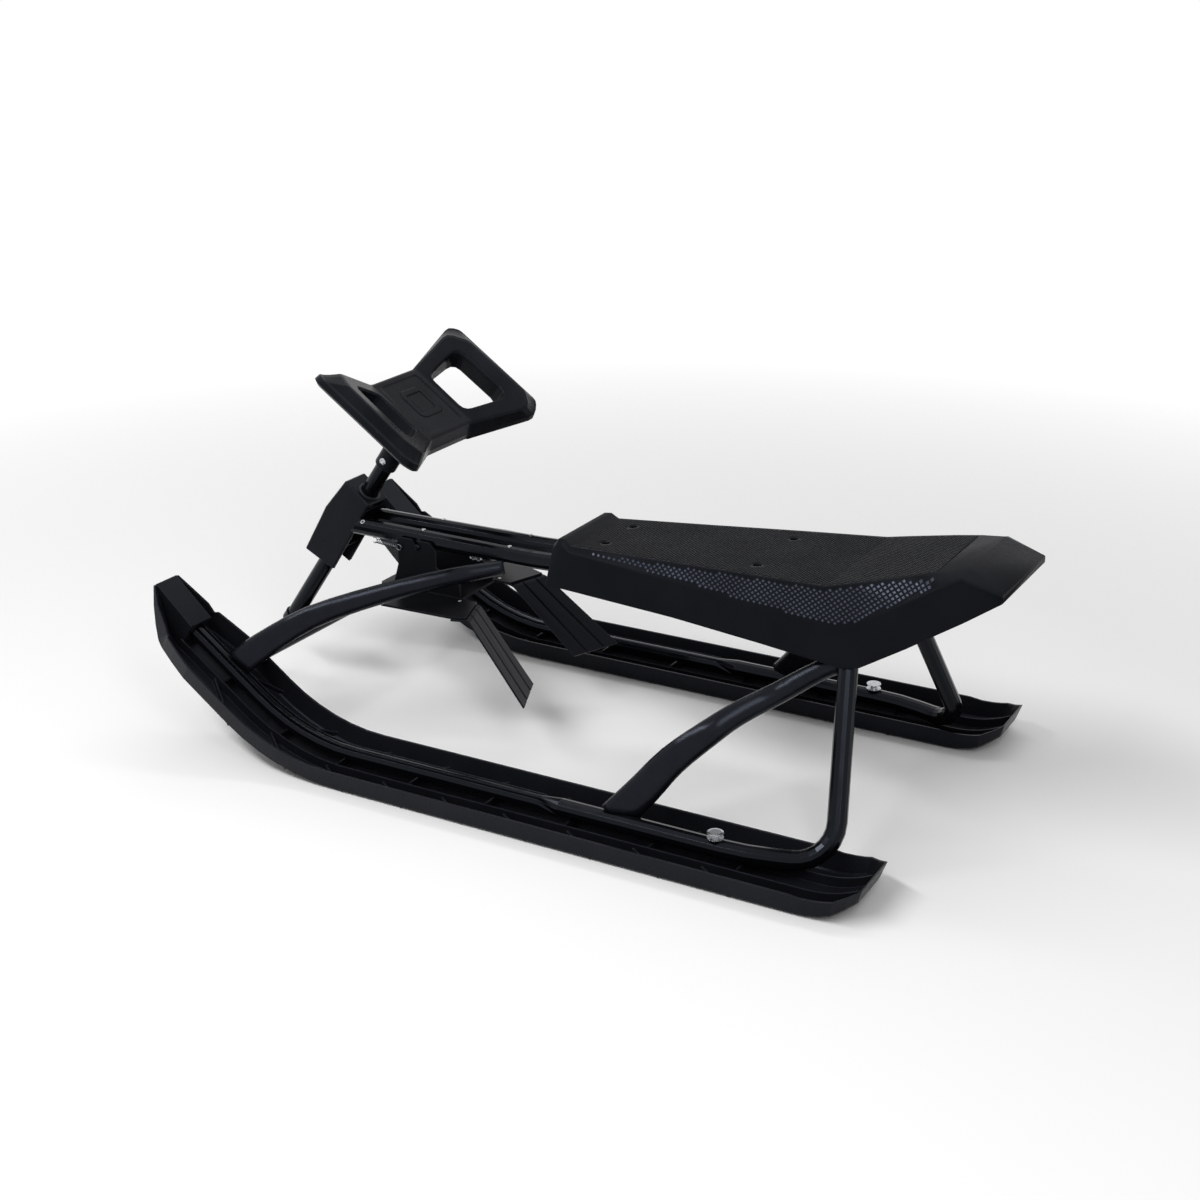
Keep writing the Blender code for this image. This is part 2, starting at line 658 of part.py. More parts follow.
# Struts

def strut_solid(knots, sizes, side, growth=0.0):
    points = [mirrored(point, side) for point in smooth_path(knots, 3)]
    sections = []
    last = len(points) - 1
    for index in range(last + 1):
        t = index / last
        rows = ((0.0, sizes[0]), (0.16, sizes[0]), (0.5, sizes[1]), (1.0, sizes[2]))
        width = interpolate([(x, size[0]) for x, size in rows], t)
        thickness = interpolate([(x, size[1]) for x, size in rows], t)
        sections.append(ellipse(width + growth * 2, thickness + growth * 2, STRUT_SIDES))
    rings = []
    for point, tangent, section in zip(points, tangents(points), sections):
        wide = Vector((tangent.z, 0.0, -tangent.x)).normalized()
        thin = tangent.cross(wide).normalized()
        rings.append([point + wide * a + thin * b for a, b in section])
    return loft(rings)


def build_strut(name, knots, sizes, side, material, root, tube_tool):
    strut = add_object(name, strut_solid(knots, sizes, side), material, root)
    combine(strut, tube_tool, "DIFFERENCE")
    return strut


# Seat

def beam_at(x):
    """Middle of the left beam at x, under the seat."""
    points = frame_points()
    for start, end in zip(points, points[1:]):
        if end.x <= x <= start.x:
            return start.lerp(end, (start.x - x) / (start.x - end.x))
    return None


def seat_top_at(x):
    rows = sorted((row[0][0], row[0][1]) for row in SEAT_ROWS)
    return interpolate(rows, x)


def seat_skin():
    bm = bmesh.new()
    rows = []
    for row in SEAT_ROWS:
        right = [Vector((x, -y, z)) for x, z, y in reversed(row)]
        left = [Vector((x, y, z)) for x, z, y in row]
        rows.append([bm.verts.new(point) for point in right + left])
    for first, second in zip(rows, rows[1:]):
        for i in range(len(first) - 1):
            bm.faces.new((first[i], first[i + 1], second[i + 1], second[i]))
    bm.faces.new(list(reversed(rows[0])))
    bm.faces.new(rows[-1])
    return bm


def build_seat(material, root, tube_tools):
    seat = add_object("seat", seat_skin(), material, root)
    solidify = seat.modifiers.new("wall", "SOLIDIFY")
    solidify.thickness = SEAT_WALL
    solidify.offset = -1.0
    solidify.use_even_offset = True
    for side in (-1, 1):
        for index, x in enumerate(SEAT_HOLES_X):
            beam = mirrored(beam_at(x), side)
            top = seat_top_at(x)
            low = beam.z
            boss = turned([(BOSS_R, low), (BOSS_R, top - SEAT_WALL / 2)])
            tag = f"{index}_{'left' if side > 0 else 'right'}"
            move(boss, Matrix.Translation((x, beam.y, 0.0)))
            combine(seat, add_object(f"seat_boss_{tag}", boss, material, root, is_tool=True), "UNION")
    for tool in tube_tools:
        combine(seat, tool, "DIFFERENCE")
    for side in (-1, 1):
        for index, x in enumerate(SEAT_HOLES_X):
            beam = mirrored(beam_at(x), side)
            floor = beam.z + TUBE_R + BOLT_FLOOR
            clear_r = SEAT_BOLT_R + SEAT_GAP
            top = seat_top_at(x) + 0.01
            hole = turned([(clear_r, beam.z), (clear_r, floor), (RECESS_R, floor), (RECESS_R, top)])
            move(hole, Matrix.Translation((x, beam.y, 0.0)))
            tag = f"{index}_{'left' if side > 0 else 'right'}"
            combine(seat, add_object(f"seat_hole_{tag}", hole, material, root, is_tool=True), "DIFFERENCE")
        notch = beam_notch(side)
        tag = "left" if side > 0 else "right"
        combine(seat, add_object(f"seat_notch_{tag}", notch, material, root, is_tool=True), "DIFFERENCE")
    return seat


def beam_notch(side):
    """Opening in the seat's front wall, from its lower edge up over a beam."""
    beam = mirrored(beam_at(SEAT_FRONT_X), side)
    half = TUBE_R + 0.0015
    outline = [(-half, -0.03)]
    steps = 8
    for index in range(steps + 1):
        angle = math.pi - math.pi * index / steps
        outline.append((half * math.cos(angle), half * math.sin(angle)))
    outline.append((half, -0.03))
    return prism(outline, SEAT_FRONT_X - 0.012, SEAT_FRONT_X + 0.01,
                 lambda y, z, x: Vector((x, beam.y + y, beam.z + z)))


def screw_profile(head_r, head, shank_r, length):
    """A screw hanging down from its seat at height 0, with a slightly domed head."""
    return [(shank_r, -length), (shank_r, 0.0), (head_r, 0.0), (head_r, head * 0.55), (head_r * 0.72, head), (0.0, head)]


def build_screw(name, seat_point, direction, head_r, head, shank_r, length, material, parent):
    """A screw whose head lies on seat_point and whose head points along direction."""
    bm = turned(screw_profile(head_r, head, shank_r, length), 12)
    return add_object(name, move(bm, pointing(direction, seat_point)), material, parent)


def screw_hole(name, seat_point, direction, shank_r, length, reach, material, parent):
    """The hole a screw goes into: from length below its seat to reach above it."""
    radius = shank_r + SEAT_GAP
    bm = turned([(radius, -length - SEAT_GAP), (radius, reach)], 12)
    return add_object(name, move(bm, pointing(direction, seat_point)), material, parent, is_tool=True)


# Steering head

def on_axis(height):
    """A point on the steering axis, height above the handle's rivet."""
    return AXIS_POINT + AXIS_DIR * height


def axis_tool(name, radius, low, high, material, parent):
    """A round cutter along the steering axis."""
    bm = turned([(radius, low), (radius, high)])
    return add_object(name, bm, material, parent, is_tool=True)


def build_head_bracket(material, root, axis):
    """Two steel cheeks on the ends of the beams, joined by two webs that the column passes through."""
    inset = COVER_T + COVER_GAP
    outline = drawn_in(COVER_SIDE, inset)
    outline[1:4] = drawn_in(COVER_SIDE, SEAT_GAP)[1:4]
    outline[1] = tuple(Vector(outline[2]).lerp(Vector(outline[1]), 0.92))
    cheek_out = CHEEK_INNER_Y + CHEEK_T
    bracket = add_object("head_bracket", prism(outline, CHEEK_INNER_Y, cheek_out, place_xz), material, root)
    other = prism(outline, -cheek_out, -CHEEK_INNER_Y, place_xz)
    combine(bracket, add_object("head_bracket_far_cheek", other, material, root, is_tool=True), "UNION")
    half = CHEEK_INNER_Y + CHEEK_T / 2
    ahead = BUSH_FLANGE_R + SEAT_GAP
    for label, drop in (("upper", UPPER_WEB), ("lower", LOWER_WEB)):
        outline = [(-WEB_REACH, -half), (ahead, -half), (ahead, half), (-WEB_REACH, half)]
        web = prism(outline, -drop - WEB_T / 2, -drop + WEB_T / 2, place_xy)
        combine(bracket, add_object(f"head_web_{label}", web, material, axis, is_tool=True), "UNION")
    bore = COLUMN_R + RUN_GAP + BUSH_WALL + SEAT_GAP
    combine(bracket, axis_tool("head_bore", bore, -LOWER_WEB - 0.02, -UPPER_WEB + 0.02, material, axis), "DIFFERENCE")
    return bracket


def build_bush(name, drop, flip, material, axis):
    """A flanged bush in a web of the bracket; its flange lies on the web's outer side."""
    inner = COLUMN_R + RUN_GAP
    wall = inner + BUSH_WALL
    face = WEB_T / 2 + SEAT_GAP
    profile = [(inner, -face - 0.0015), (wall, -face - 0.0015), (wall, face), (BUSH_FLANGE_R, face),
               (BUSH_FLANGE_R, face + BUSH_FLANGE_T), (inner, face + BUSH_FLANGE_T)]
    profile = [(r, h * flip - drop) for r, h in profile]
    return add_object(name, ring_solid(profile, 20), material, axis)


def build_head_cover(material, root, axis):
    """The plastic cover: closed in front and on top, open to the rear and below."""
    outer_y = COVER_HALF_WIDTH
    inner_y = outer_y - COVER_T
    cover = add_object("head_cover", prism(COVER_SIDE, -outer_y, outer_y, place_xz), material, root)
    bevel = cover.modifiers.new("edges", "BEVEL")
    bevel.width = 0.002
    bevel.segments = 1
    bevel.limit_method = "ANGLE"
    top_front, top_rear, rear_mid, low_rear, low_front, front_mid = (Vector(p) for p in COVER_SIDE)
    top_dir = (top_rear - top_front).normalized()
    top_in = Vector((top_dir.y, -top_dir.x))
    if top_in.y > 0:
        top_in = -top_in
    front_dir = (front_mid - low_front).normalized()
    front_in = Vector((-abs(front_dir.y), -abs(front_dir.x)))
    upper_dir = (top_front - front_mid).normalized()
    upper_in = Vector((-abs(upper_dir.y), -abs(upper_dir.x)))
    inside = [top_front + top_in * COVER_T + upper_in * COVER_T,
              top_rear + top_in * COVER_T + top_dir * 0.03,
              rear_mid + Vector((-0.03, -0.02)),
              low_rear + Vector((-0.02, -0.03)),
              low_front + front_in * COVER_T - front_dir * 0.03,
              front_mid + (front_in + upper_in).normalized() * COVER_T * 1.02]
    hollow = prism([tuple(p) for p in inside], -inner_y, inner_y, place_xz)
    combine(cover, add_object("cover_hollow", hollow, material, root, is_tool=True), "DIFFERENCE")
    hole = axis_tool("cover_hole", COLUMN_R + COVER_HOLE_GAP, -UPPER_WEB, -0.045, material, axis)
    combine(cover, hole, "DIFFERENCE")
    return cover


# Column, hand plate and the foot of the column

def build_column(material, axis):
    chamfer = 0.0012
    profile = [(COLUMN_R - chamfer, -COLUMN_DOWN), (COLUMN_R, -COLUMN_DOWN + chamfer), (COLUMN_R, COLUMN_UP)]
    column = add_object("column", turned(profile, 20), material, axis)
    hole = turned([(RIVET_R + SEAT_GAP, -COLUMN_R * 2), (RIVET_R + SEAT_GAP, COLUMN_R * 2)], 12)
    move(hole, Matrix.Rotation(math.pi / 2, 4, "X"))
    combine(column, add_object("column_cross_hole", hole, material, axis, is_tool=True), "DIFFERENCE")
    return column


def drawn_in(corners, inset):
    """A closed outline with every edge moved inward by inset."""
    count = len(corners)
    area = sum(corners[i - 1][0] * corners[i][1] - corners[i][0] * corners[i - 1][1] for i in range(count))
    turn = 1.0 if area > 0 else -1.0
    points = []
    for i in range(count):
        before, corner, after = (Vector(corners[(i + k) % count]) for k in (-1, 0, 1))
        first = (corner - before).normalized()
        second = (after - corner).normalized()
        inner_1 = Vector((-first.y, first.x)) * turn
        inner_2 = Vector((-second.y, second.x)) * turn
        middle = (inner_1 + inner_2).normalized()
        points.append(tuple(corner + middle * inset / middle.dot(inner_1)))
    return points


def wing_lift(across):
    """How far the plate is sheared up at this distance from the mirror plane."""
    return max(0.0, abs(across) - WING_FOLD_Y) * math.tan(WING_RISE)


def between(low, high, share):
    """Outline a share of the way from one outline to another."""
    return [tuple(Vector(a).lerp(Vector(b), share)) for a, b in zip(low, high)]


def plate_solid():
    """The hand plate without its openings."""
    rings = []
    for height, share, inset in PLATE_RINGS:
        half = between(PLATE_WIDEST, PLATE_TOP, share)
        corners = half + [(-across, rear) for across, rear in reversed(half)]
        outline = rounded_outline(drawn_in(corners, inset), PLATE_CORNER_R - inset, 2)
        rings.append([Vector((-rear, across, PAD_HEIGHT + height)) for across, rear in outline])
    bm = loft(rings)
    for side in (-1, 1):
        bmesh.ops.bisect_plane(bm, geom=bm.verts[:] + bm.edges[:] + bm.faces[:],
                               plane_co=(0.0, side * WING_FOLD_Y, 0.0), plane_no=(0.0, 1.0, 0.0))
    for vert in bm.verts:
        vert.co.z += wing_lift(vert.co.y)
    return bm


def grip_solid(side):
    """Cutter for one hand opening, widened where it meets the top face."""
    rings = []
    for height, share, inset in ((-PLATE_THICKNESS - 0.015, 0.0, 0.0), (-PLATE_THICKNESS, 0.0, 0.0),
                                 (-0.0035, 1.0, 0.0), (0.0002, 1.0, -GRIP_EDGE), (0.015, 1.0, -GRIP_EDGE)):
        corners = between(GRIP_LOW, GRIP_TOP, share)
        outline = rounded_outline(drawn_in(corners, inset), GRIP_CORNER_R - inset, 3)
        rings.append([Vector((-rear, side * across, PAD_HEIGHT + height + wing_lift(across)))
                      for across, rear in outline])
    return loft(rings)


def build_handle(material, axis):
    """The hand plate: a flat middle with two folded wings, a hand opening in each, and a socket below."""
    handle = add_object("handle", plate_solid(), material, axis)
    for tag, side in (("left", 1), ("right", -1)):
        opening = add_object(f"grip_opening_{tag}", grip_solid(side), material, axis, is_tool=True)
        combine(handle, opening, "DIFFERENCE")
    outline = [(-PANEL_REAR, -PANEL_HALF_WIDTH), (-PANEL_REAR, PANEL_HALF_WIDTH), (-PANEL_FRONT, PANEL_HALF_WIDTH),
               (-PANEL_FRONT, -PANEL_HALF_WIDTH)]
    panel = prism(rounded_outline(outline, 0.006, 2), PAD_HEIGHT - PANEL_DEPTH, PAD_HEIGHT + 0.01, place_xy)
    combine(handle, add_object("handle_panel", panel, material, axis, is_tool=True), "DIFFERENCE")
    inner = COLUMN_R + SEAT_GAP
    low = -SOCKET_DOWN
    high = PAD_HEIGHT - PLATE_THICKNESS * 0.5
    socket = turned([(SOCKET_R, low), (SOCKET_R, high * 0.55), (SOCKET_R * 1.5, high)], 20)
    combine(handle, add_object("handle_socket", socket, material, axis, is_tool=True), "UNION")
    bore = turned([(inner, low - 0.01), (inner, COLUMN_UP + SEAT_GAP)], 20)
    combine(handle, add_object("handle_bore", bore, material, axis, is_tool=True), "DIFFERENCE")
    cross = turned([(RIVET_R + SEAT_GAP, -SOCKET_R * 2), (RIVET_R + SEAT_GAP, SOCKET_R * 2)], 12)
    move(cross, Matrix.Rotation(math.pi / 2, 4, "X"))
    combine(handle, add_object("handle_cross_hole", cross, material, axis, is_tool=True), "DIFFERENCE")
    return handle


def build_handle_rivet(material, axis):
    end = SOCKET_R + SEAT_GAP
    head = 0.0022
    profile = [(RIVET_HEAD_R * 0.6, -end - head), (RIVET_HEAD_R, -end - head * 0.5), (RIVET_HEAD_R, -end),
               (RIVET_R, -end), (RIVET_R, end), (RIVET_HEAD_R, end), (RIVET_HEAD_R, end + head * 0.5),
               (RIVET_HEAD_R * 0.6, end + head)]
    return add_object("handle_rivet", move(turned(profile, 12), Matrix.Rotation(math.pi / 2, 4, "X")), material, axis)


def build_cross_tube(material, root, axis, tube_tools, strut_tools):
    """Tube between the two runners, with a tongue that carries the cup of the column's foot."""
    runner = cross_centre()
    bar = turned([(CROSS_R, -SKI_Y), (CROSS_R, SKI_Y)], 14)
    move(bar, Matrix.Translation(runner) @ Matrix.Rotation(math.pi / 2, 4, "X"))
    cross = add_object("cross_tube", bar, material, root)
    foot = on_axis(-COLUMN_DOWN)
    start = Vector((runner.x, runner.z))
    end = Vector((foot.x, foot.z - 0.002))
    along = (end - start).normalized()
    up = Vector((-along.y, along.x)) * TONGUE_T / 2
    outline = [tuple(p) for p in (start - up, end - up, end + up, start + up)]
    tongue = prism(outline, -TONGUE_HALF_WIDTH, TONGUE_HALF_WIDTH, place_xz)
    combine(cross, add_object("cross_tongue", tongue, material, root, is_tool=True), "UNION")
    low = -COLUMN_DOWN - SEAT_GAP - FOOT_CUP_FLOOR
    cup = turned([(FOOT_CUP_R, low), (FOOT_CUP_R, -COLUMN_DOWN + FOOT_CUP_DEPTH)], 20)
    combine(cross, add_object("foot_cup", cup, material, axis, is_tool=True), "UNION")
    bore = axis_tool("foot_bore", COLUMN_R + RUN_GAP, -COLUMN_DOWN - SEAT_GAP, -COLUMN_DOWN + 0.08, material, axis)
    combine(cross, bore, "DIFFERENCE")
    for tool in [*tube_tools, *strut_tools]:
        combine(cross, tool, "DIFFERENCE")
    return cross


# Brake

def brake_local(x, z):
    return x - BRAKE_X, z - BRAKE_Z


def build_brake_plate(material, brake):
    """Foot plate under the beams with a cheek up each side, hung on its pins by open slots."""
    low = FOOT_PLATE_Z - BRAKE_Z
    outline = [(x - BRAKE_X, y) for x, y in FOOT_PLATE]
    outline += [(x, -y) for x, y in reversed(outline)]
    plate = add_object("brake_plate", prism(outline, low, low + BRAKE_T, place_xy), material, brake)
    for side in (-1, 1):
        tag = "left" if side > 0 else "right"
        cheek_outline = [brake_local(x, z) for x, z in BRAKE_CHEEK]
        near, far = side * BRAKE_CHEEK_Y, side * (BRAKE_CHEEK_Y + BRAKE_T)
        cheek = prism(rounded_outline(cheek_outline, 0.004, 2), min(near, far), max(near, far), place_xz)
        combine(plate, add_object(f"brake_cheek_{tag}", cheek, material, brake, is_tool=True), "UNION")
        slot_r = BRAKE_PIN_R + RUN_GAP
        reach = 0.04
        slot = []
        for index in range(9):
            angle = BRAKE_SLOT_LEAN + math.pi / 2 + math.pi * index / 8
            slot.append((slot_r * math.cos(angle), slot_r * math.sin(angle)))
        tip = Vector((math.cos(BRAKE_SLOT_LEAN), math.sin(BRAKE_SLOT_LEAN))) * reach
        slot.append((slot[-1][0] + tip.x, slot[-1][1] + tip.y))
        slot.append((slot[0][0] + tip.x, slot[0][1] + tip.y))
        cutter = prism(slot, min(near, far) - 0.002, max(near, far) + 0.002, place_xz)
        combine(plate, add_object(f"brake_slot_{tag}", cutter, material, brake, is_tool=True), "DIFFERENCE")
    return plate


def claw_stops():
    """Shares of the claw's width with the groove's depth at each."""
    stops = [(0.0, 0.0)]
    for start, deepest, end in CLAW_GROOVES:
        stops += [(start, 0.0), (deepest, CLAW_GROOVE), (end, 0.0)]
    return stops + [(1.0, 0.0)]


def build_claw(name, side, material, brake):
    """A grooved claw bent down and back from a flange under the foot plate, notched at its end."""
    top = FOOT_PLATE_Z - SEAT_GAP
    shift = Vector((BRAKE_X, 0.0, BRAKE_Z))
    bend_in, bend_out = (mirrored((x, y, top), side) - shift for x, y in CLAW_BEND)
    end_in, end_out = (mirrored(point, side) - shift for point in CLAW_END)
    across = (bend_out - bend_in).normalized()
    ahead = Vector((abs(across.y), -across.x * math.copysign(1.0, across.y), 0.0))
    down = ((end_in + end_out) / 2 - (bend_in + bend_out) / 2).normalized()
    slope_normal = across.cross(down).normalized()
    if slope_normal.z < 0:
        slope_normal.negate()
    level = Vector((0.0, 0.0, 1.0))
    bend_normal = (slope_normal + level).normalized()
    rings = []
    for t, normal, groove in ((-1.0, level, 0.0), (0.0, level, 0.0), (0.33, bend_normal, 0.3),
                              (0.67, bend_normal, 0.7), (1.0, slope_normal, 1.0), (2.0, slope_normal, 1.0)):
        upper = []
        for share, depth in claw_stops():
            corner = bend_in.lerp(bend_out, share)
            end = end_in.lerp(end_out, share)
            start_arc = corner + ahead * CLAW_BEND_REACH
            end_arc = corner + (end - corner).normalized() * CLAW_BEND_REACH
            if t < 0:
                point = corner + ahead * CLAW_FLANGE
            elif t > 1:
                point = end
            else:
                point = start_arc * (1 - t) ** 2 + corner * 2 * t * (1 - t) + end_arc * t ** 2
            upper.append(point - normal * depth * groove)
        rings.append(upper + [point - normal * CLAW_T for point in reversed(upper)])
    claw = add_object(name, loft(rings), material, brake)
    for index, (start, middle, end) in enumerate(CLAW_GROOVES):
        tip = end_in.lerp(end_out, middle)
        half = (end_out - end_in) * (end - start) * 0.8
        corners = [tip - down * CLAW_NOTCH, tip + down * CLAW_NOTCH - half, tip + down * CLAW_NOTCH + half]
        notch = loft([[c + slope_normal * 0.01 for c in corners], [c - slope_normal * 0.02 for c in corners]])
        combine(claw, add_object(f"{name}_notch_{index}", notch, material, brake, is_tool=True), "DIFFERENCE")
    return claw


def build_spring(material, root):
    """Tension spring from a hook on the head bracket to a screw on the left cheek."""
    y = BRAKE_CHEEK_Y + BRAKE_T + 0.0035
    start = Vector((SPRING_SCREW[0] + 0.0058, y, SPRING_SCREW[1] - 0.001))
    end = Vector((SPRING_HOOK_X - 0.004, y - 0.003, SPRING_SCREW[1] + 0.001))
    length = (end - start).length
    points = []
    per_turn = 8
    total = SPRING_TURNS * per_turn
    for index in range(total + 1):
        angle = 2 * math.pi * index / per_turn
        points.append(Vector((SPRING_R * math.cos(angle), SPRING_R * math.sin(angle), length * index / total)))
    pitch = length / SPRING_TURNS
    print("spring: gap between turns", round((pitch - 2 * SPRING_WIRE_R) * 1000, 2), "mm")
    rings = []
    along = tangents(points)
    for point, tangent in zip(points, along):
        outward = Vector((point.x, point.y, 0.0)).normalized()
        side = tangent.cross(outward).normalized()
        out = side.cross(tangent).normalized()
        ring = [(math.cos(2 * math.pi * k / 5) * SPRING_WIRE_R, math.sin(2 * math.pi * k / 5) * SPRING_WIRE_R)
                for k in range(5)]
        rings.append([point + out * a + side * b for a, b in ring])
    bm = loft(rings)
    return add_object("brake_spring", move(bm, pointing(end - start, start)), material, root)


# Assembly

def build_sled():
    clear_scene()
    plastic = make_material("moulded_plastic", (0.012, 0.012, 0.013), 0.42, 0.0)
    seat_plastic = make_material("seat_plastic", (0.014, 0.014, 0.015), 0.48, 0.0)
    painted = make_material("painted_steel", (0.010, 0.010, 0.011), 0.28, 0.0)
    sheet = make_material("painted_sheet", (0.013, 0.013, 0.014), 0.36, 0.0)
    zinc = make_material("zinc_plated", (0.62, 0.62, 0.60), 0.25, 1.0)
    nylon = make_material("bush_nylon", (0.02, 0.02, 0.02), 0.5, 0.0)

    root = make_empty("sled", (-ORIGIN_X, 0.0, 0.0))
    axis = make_empty("steering_axis", AXIS_POINT, root, (0.0, -RAKE, 0.0))
    brake = make_empty("brake_axis", (BRAKE_X, 0.0, BRAKE_Z), root)

    sides = (("left", 1), ("right", -1))
    tube_tools = {}
    pocket_tools = {}
    strut_tools = []
    for tag, side in sides:
        tube_tools[tag] = add_object(f"tube_clear_{tag}", side_tube_solid(side, SEAT_GAP * 1.3, grooves=False),
                                     painted, root, is_tool=True)
        pocket_tools[tag] = add_object(f"tube_pocket_{tag}", side_tube_solid(side, 0.0006, grooves=False, extra=0.0006),
                                       painted, root, is_tool=True)

    for tag, side in sides:
        ski = build_ski(f"ski_{tag}", side, plastic, root)
        combine(ski, pocket_tools[tag], "DIFFERENCE")
        tube = build_side_tube(f"side_tube_{tag}", side, painted, root)
        build_strut(f"front_strut_{tag}", FRONT_STRUT, FRONT_STRUT_SIZES, side, painted, root, tube_tools[tag])
        build_strut(f"rear_strut_{tag}", REAR_STRUT, REAR_STRUT_SIZES, side, painted, root, tube_tools[tag])
        clear = strut_solid(FRONT_STRUT, FRONT_STRUT_SIZES, side, SEAT_GAP)
        strut_tools.append(add_object(f"strut_clear_{tag}", clear, painted, root, is_tool=True))

        # Bolt with two broad discs through the runner, ahead of the rear bend
        top = RUNNER_HEIGHT + TUBE_R + SEAT_GAP
        disc = [(0.0035, -BOLT_DEPTH), (0.0035, 0.0), (DISC_R, 0.0), (DISC_R, DISC_T), (0.0048, DISC_T),
                (0.0048, DISC_RISE - DISC_T), (DISC_R, DISC_RISE - DISC_T), (DISC_R * 0.98, DISC_RISE - DISC_T * 0.4),
                (DISC_R * 0.7, DISC_RISE), (0.0, DISC_RISE)]
        runner_point = Vector((RUNNER_BOLT_X, side * SKI_Y, top))
        add_object(f"runner_bolt_{tag}", move(turned(disc, 20), Matrix.Translation(runner_point)), zinc, root)
        combine(tube, screw_hole(f"runner_bolt_hole_{tag}", runner_point, (0, 0, 1), 0.0035, BOLT_DEPTH, 0.01,
                                 painted, root), "DIFFERENCE")

        # Screws through the strut's end and down through the beam
        for index, x in enumerate(BEAM_RIVETS_X):
            beam = mirrored(beam_at(x), side)
            point = beam + Vector((0.0, 0.0, TUBE_R + SEAT_GAP))
            build_screw(f"beam_screw_{index + 1}_{tag}", point, (0, 0, 1), SMALL_HEAD_R, SMALL_HEAD, SMALL_SHANK_R,
                        BOLT_DEPTH, zinc, root)
            combine(tube, screw_hole(f"beam_screw_hole_{index}_{tag}", point, (0, 0, 1), SMALL_SHANK_R, BOLT_DEPTH,
                                     0.01, painted, root), "DIFFERENCE")

        # Seat bolts, deep in their recesses
        for index, x in enumerate(SEAT_HOLES_X):
            beam = mirrored(beam_at(x), side)
            point = beam + Vector((0.0, 0.0, TUBE_R + BOLT_FLOOR + SEAT_GAP))
            length = BOLT_FLOOR + BOLT_DEPTH
            build_screw(f"seat_bolt_{index + 1}_{tag}", point, (0, 0, 1), SEAT_BOLT_HEAD_R, SEAT_BOLT_HEAD,
                        SEAT_BOLT_R, length, zinc, root)
            combine(tube, screw_hole(f"seat_bolt_hole_{index}_{tag}", point, (0, 0, 1), SEAT_BOLT_R, length, 0.01,
                                     painted, root), "DIFFERENCE")

        # Brake pin in the side of the beam
        beam = mirrored(beam_at(BRAKE_X), side)
        seat_y = side * (BRAKE_CHEEK_Y + BRAKE_T + RUN_GAP)
        point = Vector((BRAKE_X, seat_y, BRAKE_Z))
        length = abs(seat_y) - abs(beam.y) + TUBE_R * 0.2
        build_screw(f"brake_pin_{tag}", point, (0, side, 0), BRAKE_PIN_HEAD_R, 0.003, BRAKE_PIN_R, length, painted,
                    root)
        combine(tube, screw_hole(f"brake_pin_hole_{tag}", point, (0, side, 0), BRAKE_PIN_R, length, 0.01,
                                 painted, root), "DIFFERENCE")

        # The beam's front end is cut to fit the rear edge of the steering head
        ends = sorted((0.0, side * (COVER_HALF_WIDTH + TUBE_R + 0.004)))
        head = prism(drawn_in(COVER_SIDE, -SEAT_GAP * 1.5), ends[0], ends[1], place_xz)
        combine(tube, add_object(f"head_clear_{tag}", head, painted, root, is_tool=True), "DIFFERENCE")

    seat = build_seat(seat_plastic, root, tube_tools.values())
    build_head_bracket(sheet, root, axis)
    build_head_cover(plastic, root, axis)
    build_bush("upper_bush", UPPER_WEB, 1, nylon, axis)
    build_bush("lower_bush", LOWER_WEB, -1, nylon, axis)
    build_column(painted, axis)
    build_handle(plastic, axis)
    build_handle_rivet(zinc, axis)
    build_cross_tube(painted, root, axis, tube_tools.values(), strut_tools)
    build_brake_plate(sheet, brake)
    build_claw("brake_claw_left", 1, sheet, brake)
    build_claw("brake_claw_right", -1, sheet, brake)
    build_spring(zinc, root)


build_sled()
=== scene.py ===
"""Looks of a two-seater steering sled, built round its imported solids."""
import math

import bmesh
import bpy
from mathutils import Matrix, Vector


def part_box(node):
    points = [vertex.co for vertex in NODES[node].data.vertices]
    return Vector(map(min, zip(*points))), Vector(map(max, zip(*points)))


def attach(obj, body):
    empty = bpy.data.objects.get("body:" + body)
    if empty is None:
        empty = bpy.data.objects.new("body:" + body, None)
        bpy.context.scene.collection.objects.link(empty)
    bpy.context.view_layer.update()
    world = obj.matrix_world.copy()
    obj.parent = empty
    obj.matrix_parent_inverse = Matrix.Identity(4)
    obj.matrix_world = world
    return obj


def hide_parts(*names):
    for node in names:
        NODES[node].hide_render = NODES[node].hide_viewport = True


bl_info = {
    "name": "Steering Sled",
    "version": (1, 0, 0),
    "blender": (4, 5, 0),
    "location": "View3D > Sidebar > Sled",
    "description": "Dresses a two-seater steering sled with fine pieces and finishes",
    "category": "Object",
}

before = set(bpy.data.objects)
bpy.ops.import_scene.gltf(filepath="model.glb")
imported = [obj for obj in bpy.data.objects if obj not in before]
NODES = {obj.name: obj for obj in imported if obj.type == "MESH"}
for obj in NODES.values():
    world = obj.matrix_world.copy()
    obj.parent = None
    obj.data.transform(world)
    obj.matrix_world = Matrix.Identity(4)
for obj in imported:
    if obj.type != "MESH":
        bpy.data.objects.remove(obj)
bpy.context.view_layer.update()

# Places and sizes in metres. X names count forward from the rear end of the skis, at ZERO_X.
SKI_LENGTH = 1.066
ZERO_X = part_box("ski_left")[1][0] - SKI_LENGTH
RAKE = math.radians(35.0)                               # lean of the steering axis
TURN_POINT = Vector((ZERO_X + 0.8570, 0.0, 0.3611))     # on the steering axis
AXIS = Vector((-math.sin(RAKE), 0.0, math.cos(RAKE)))
BEAM_TOP = 0.2729             # height of the beams' upper side under their screws
BEAM_BOTTOM = 0.2486          # height of the beams' lower side over the front struts
SEAT_LIP_X = 0.520            # where the seat's smooth front lip ends
SEAT_TAIL_X = 0.005           # where the smooth block at the tail starts
SEAT_SKIRT = 0.04             # lozenges start this far above the seat's lowest point
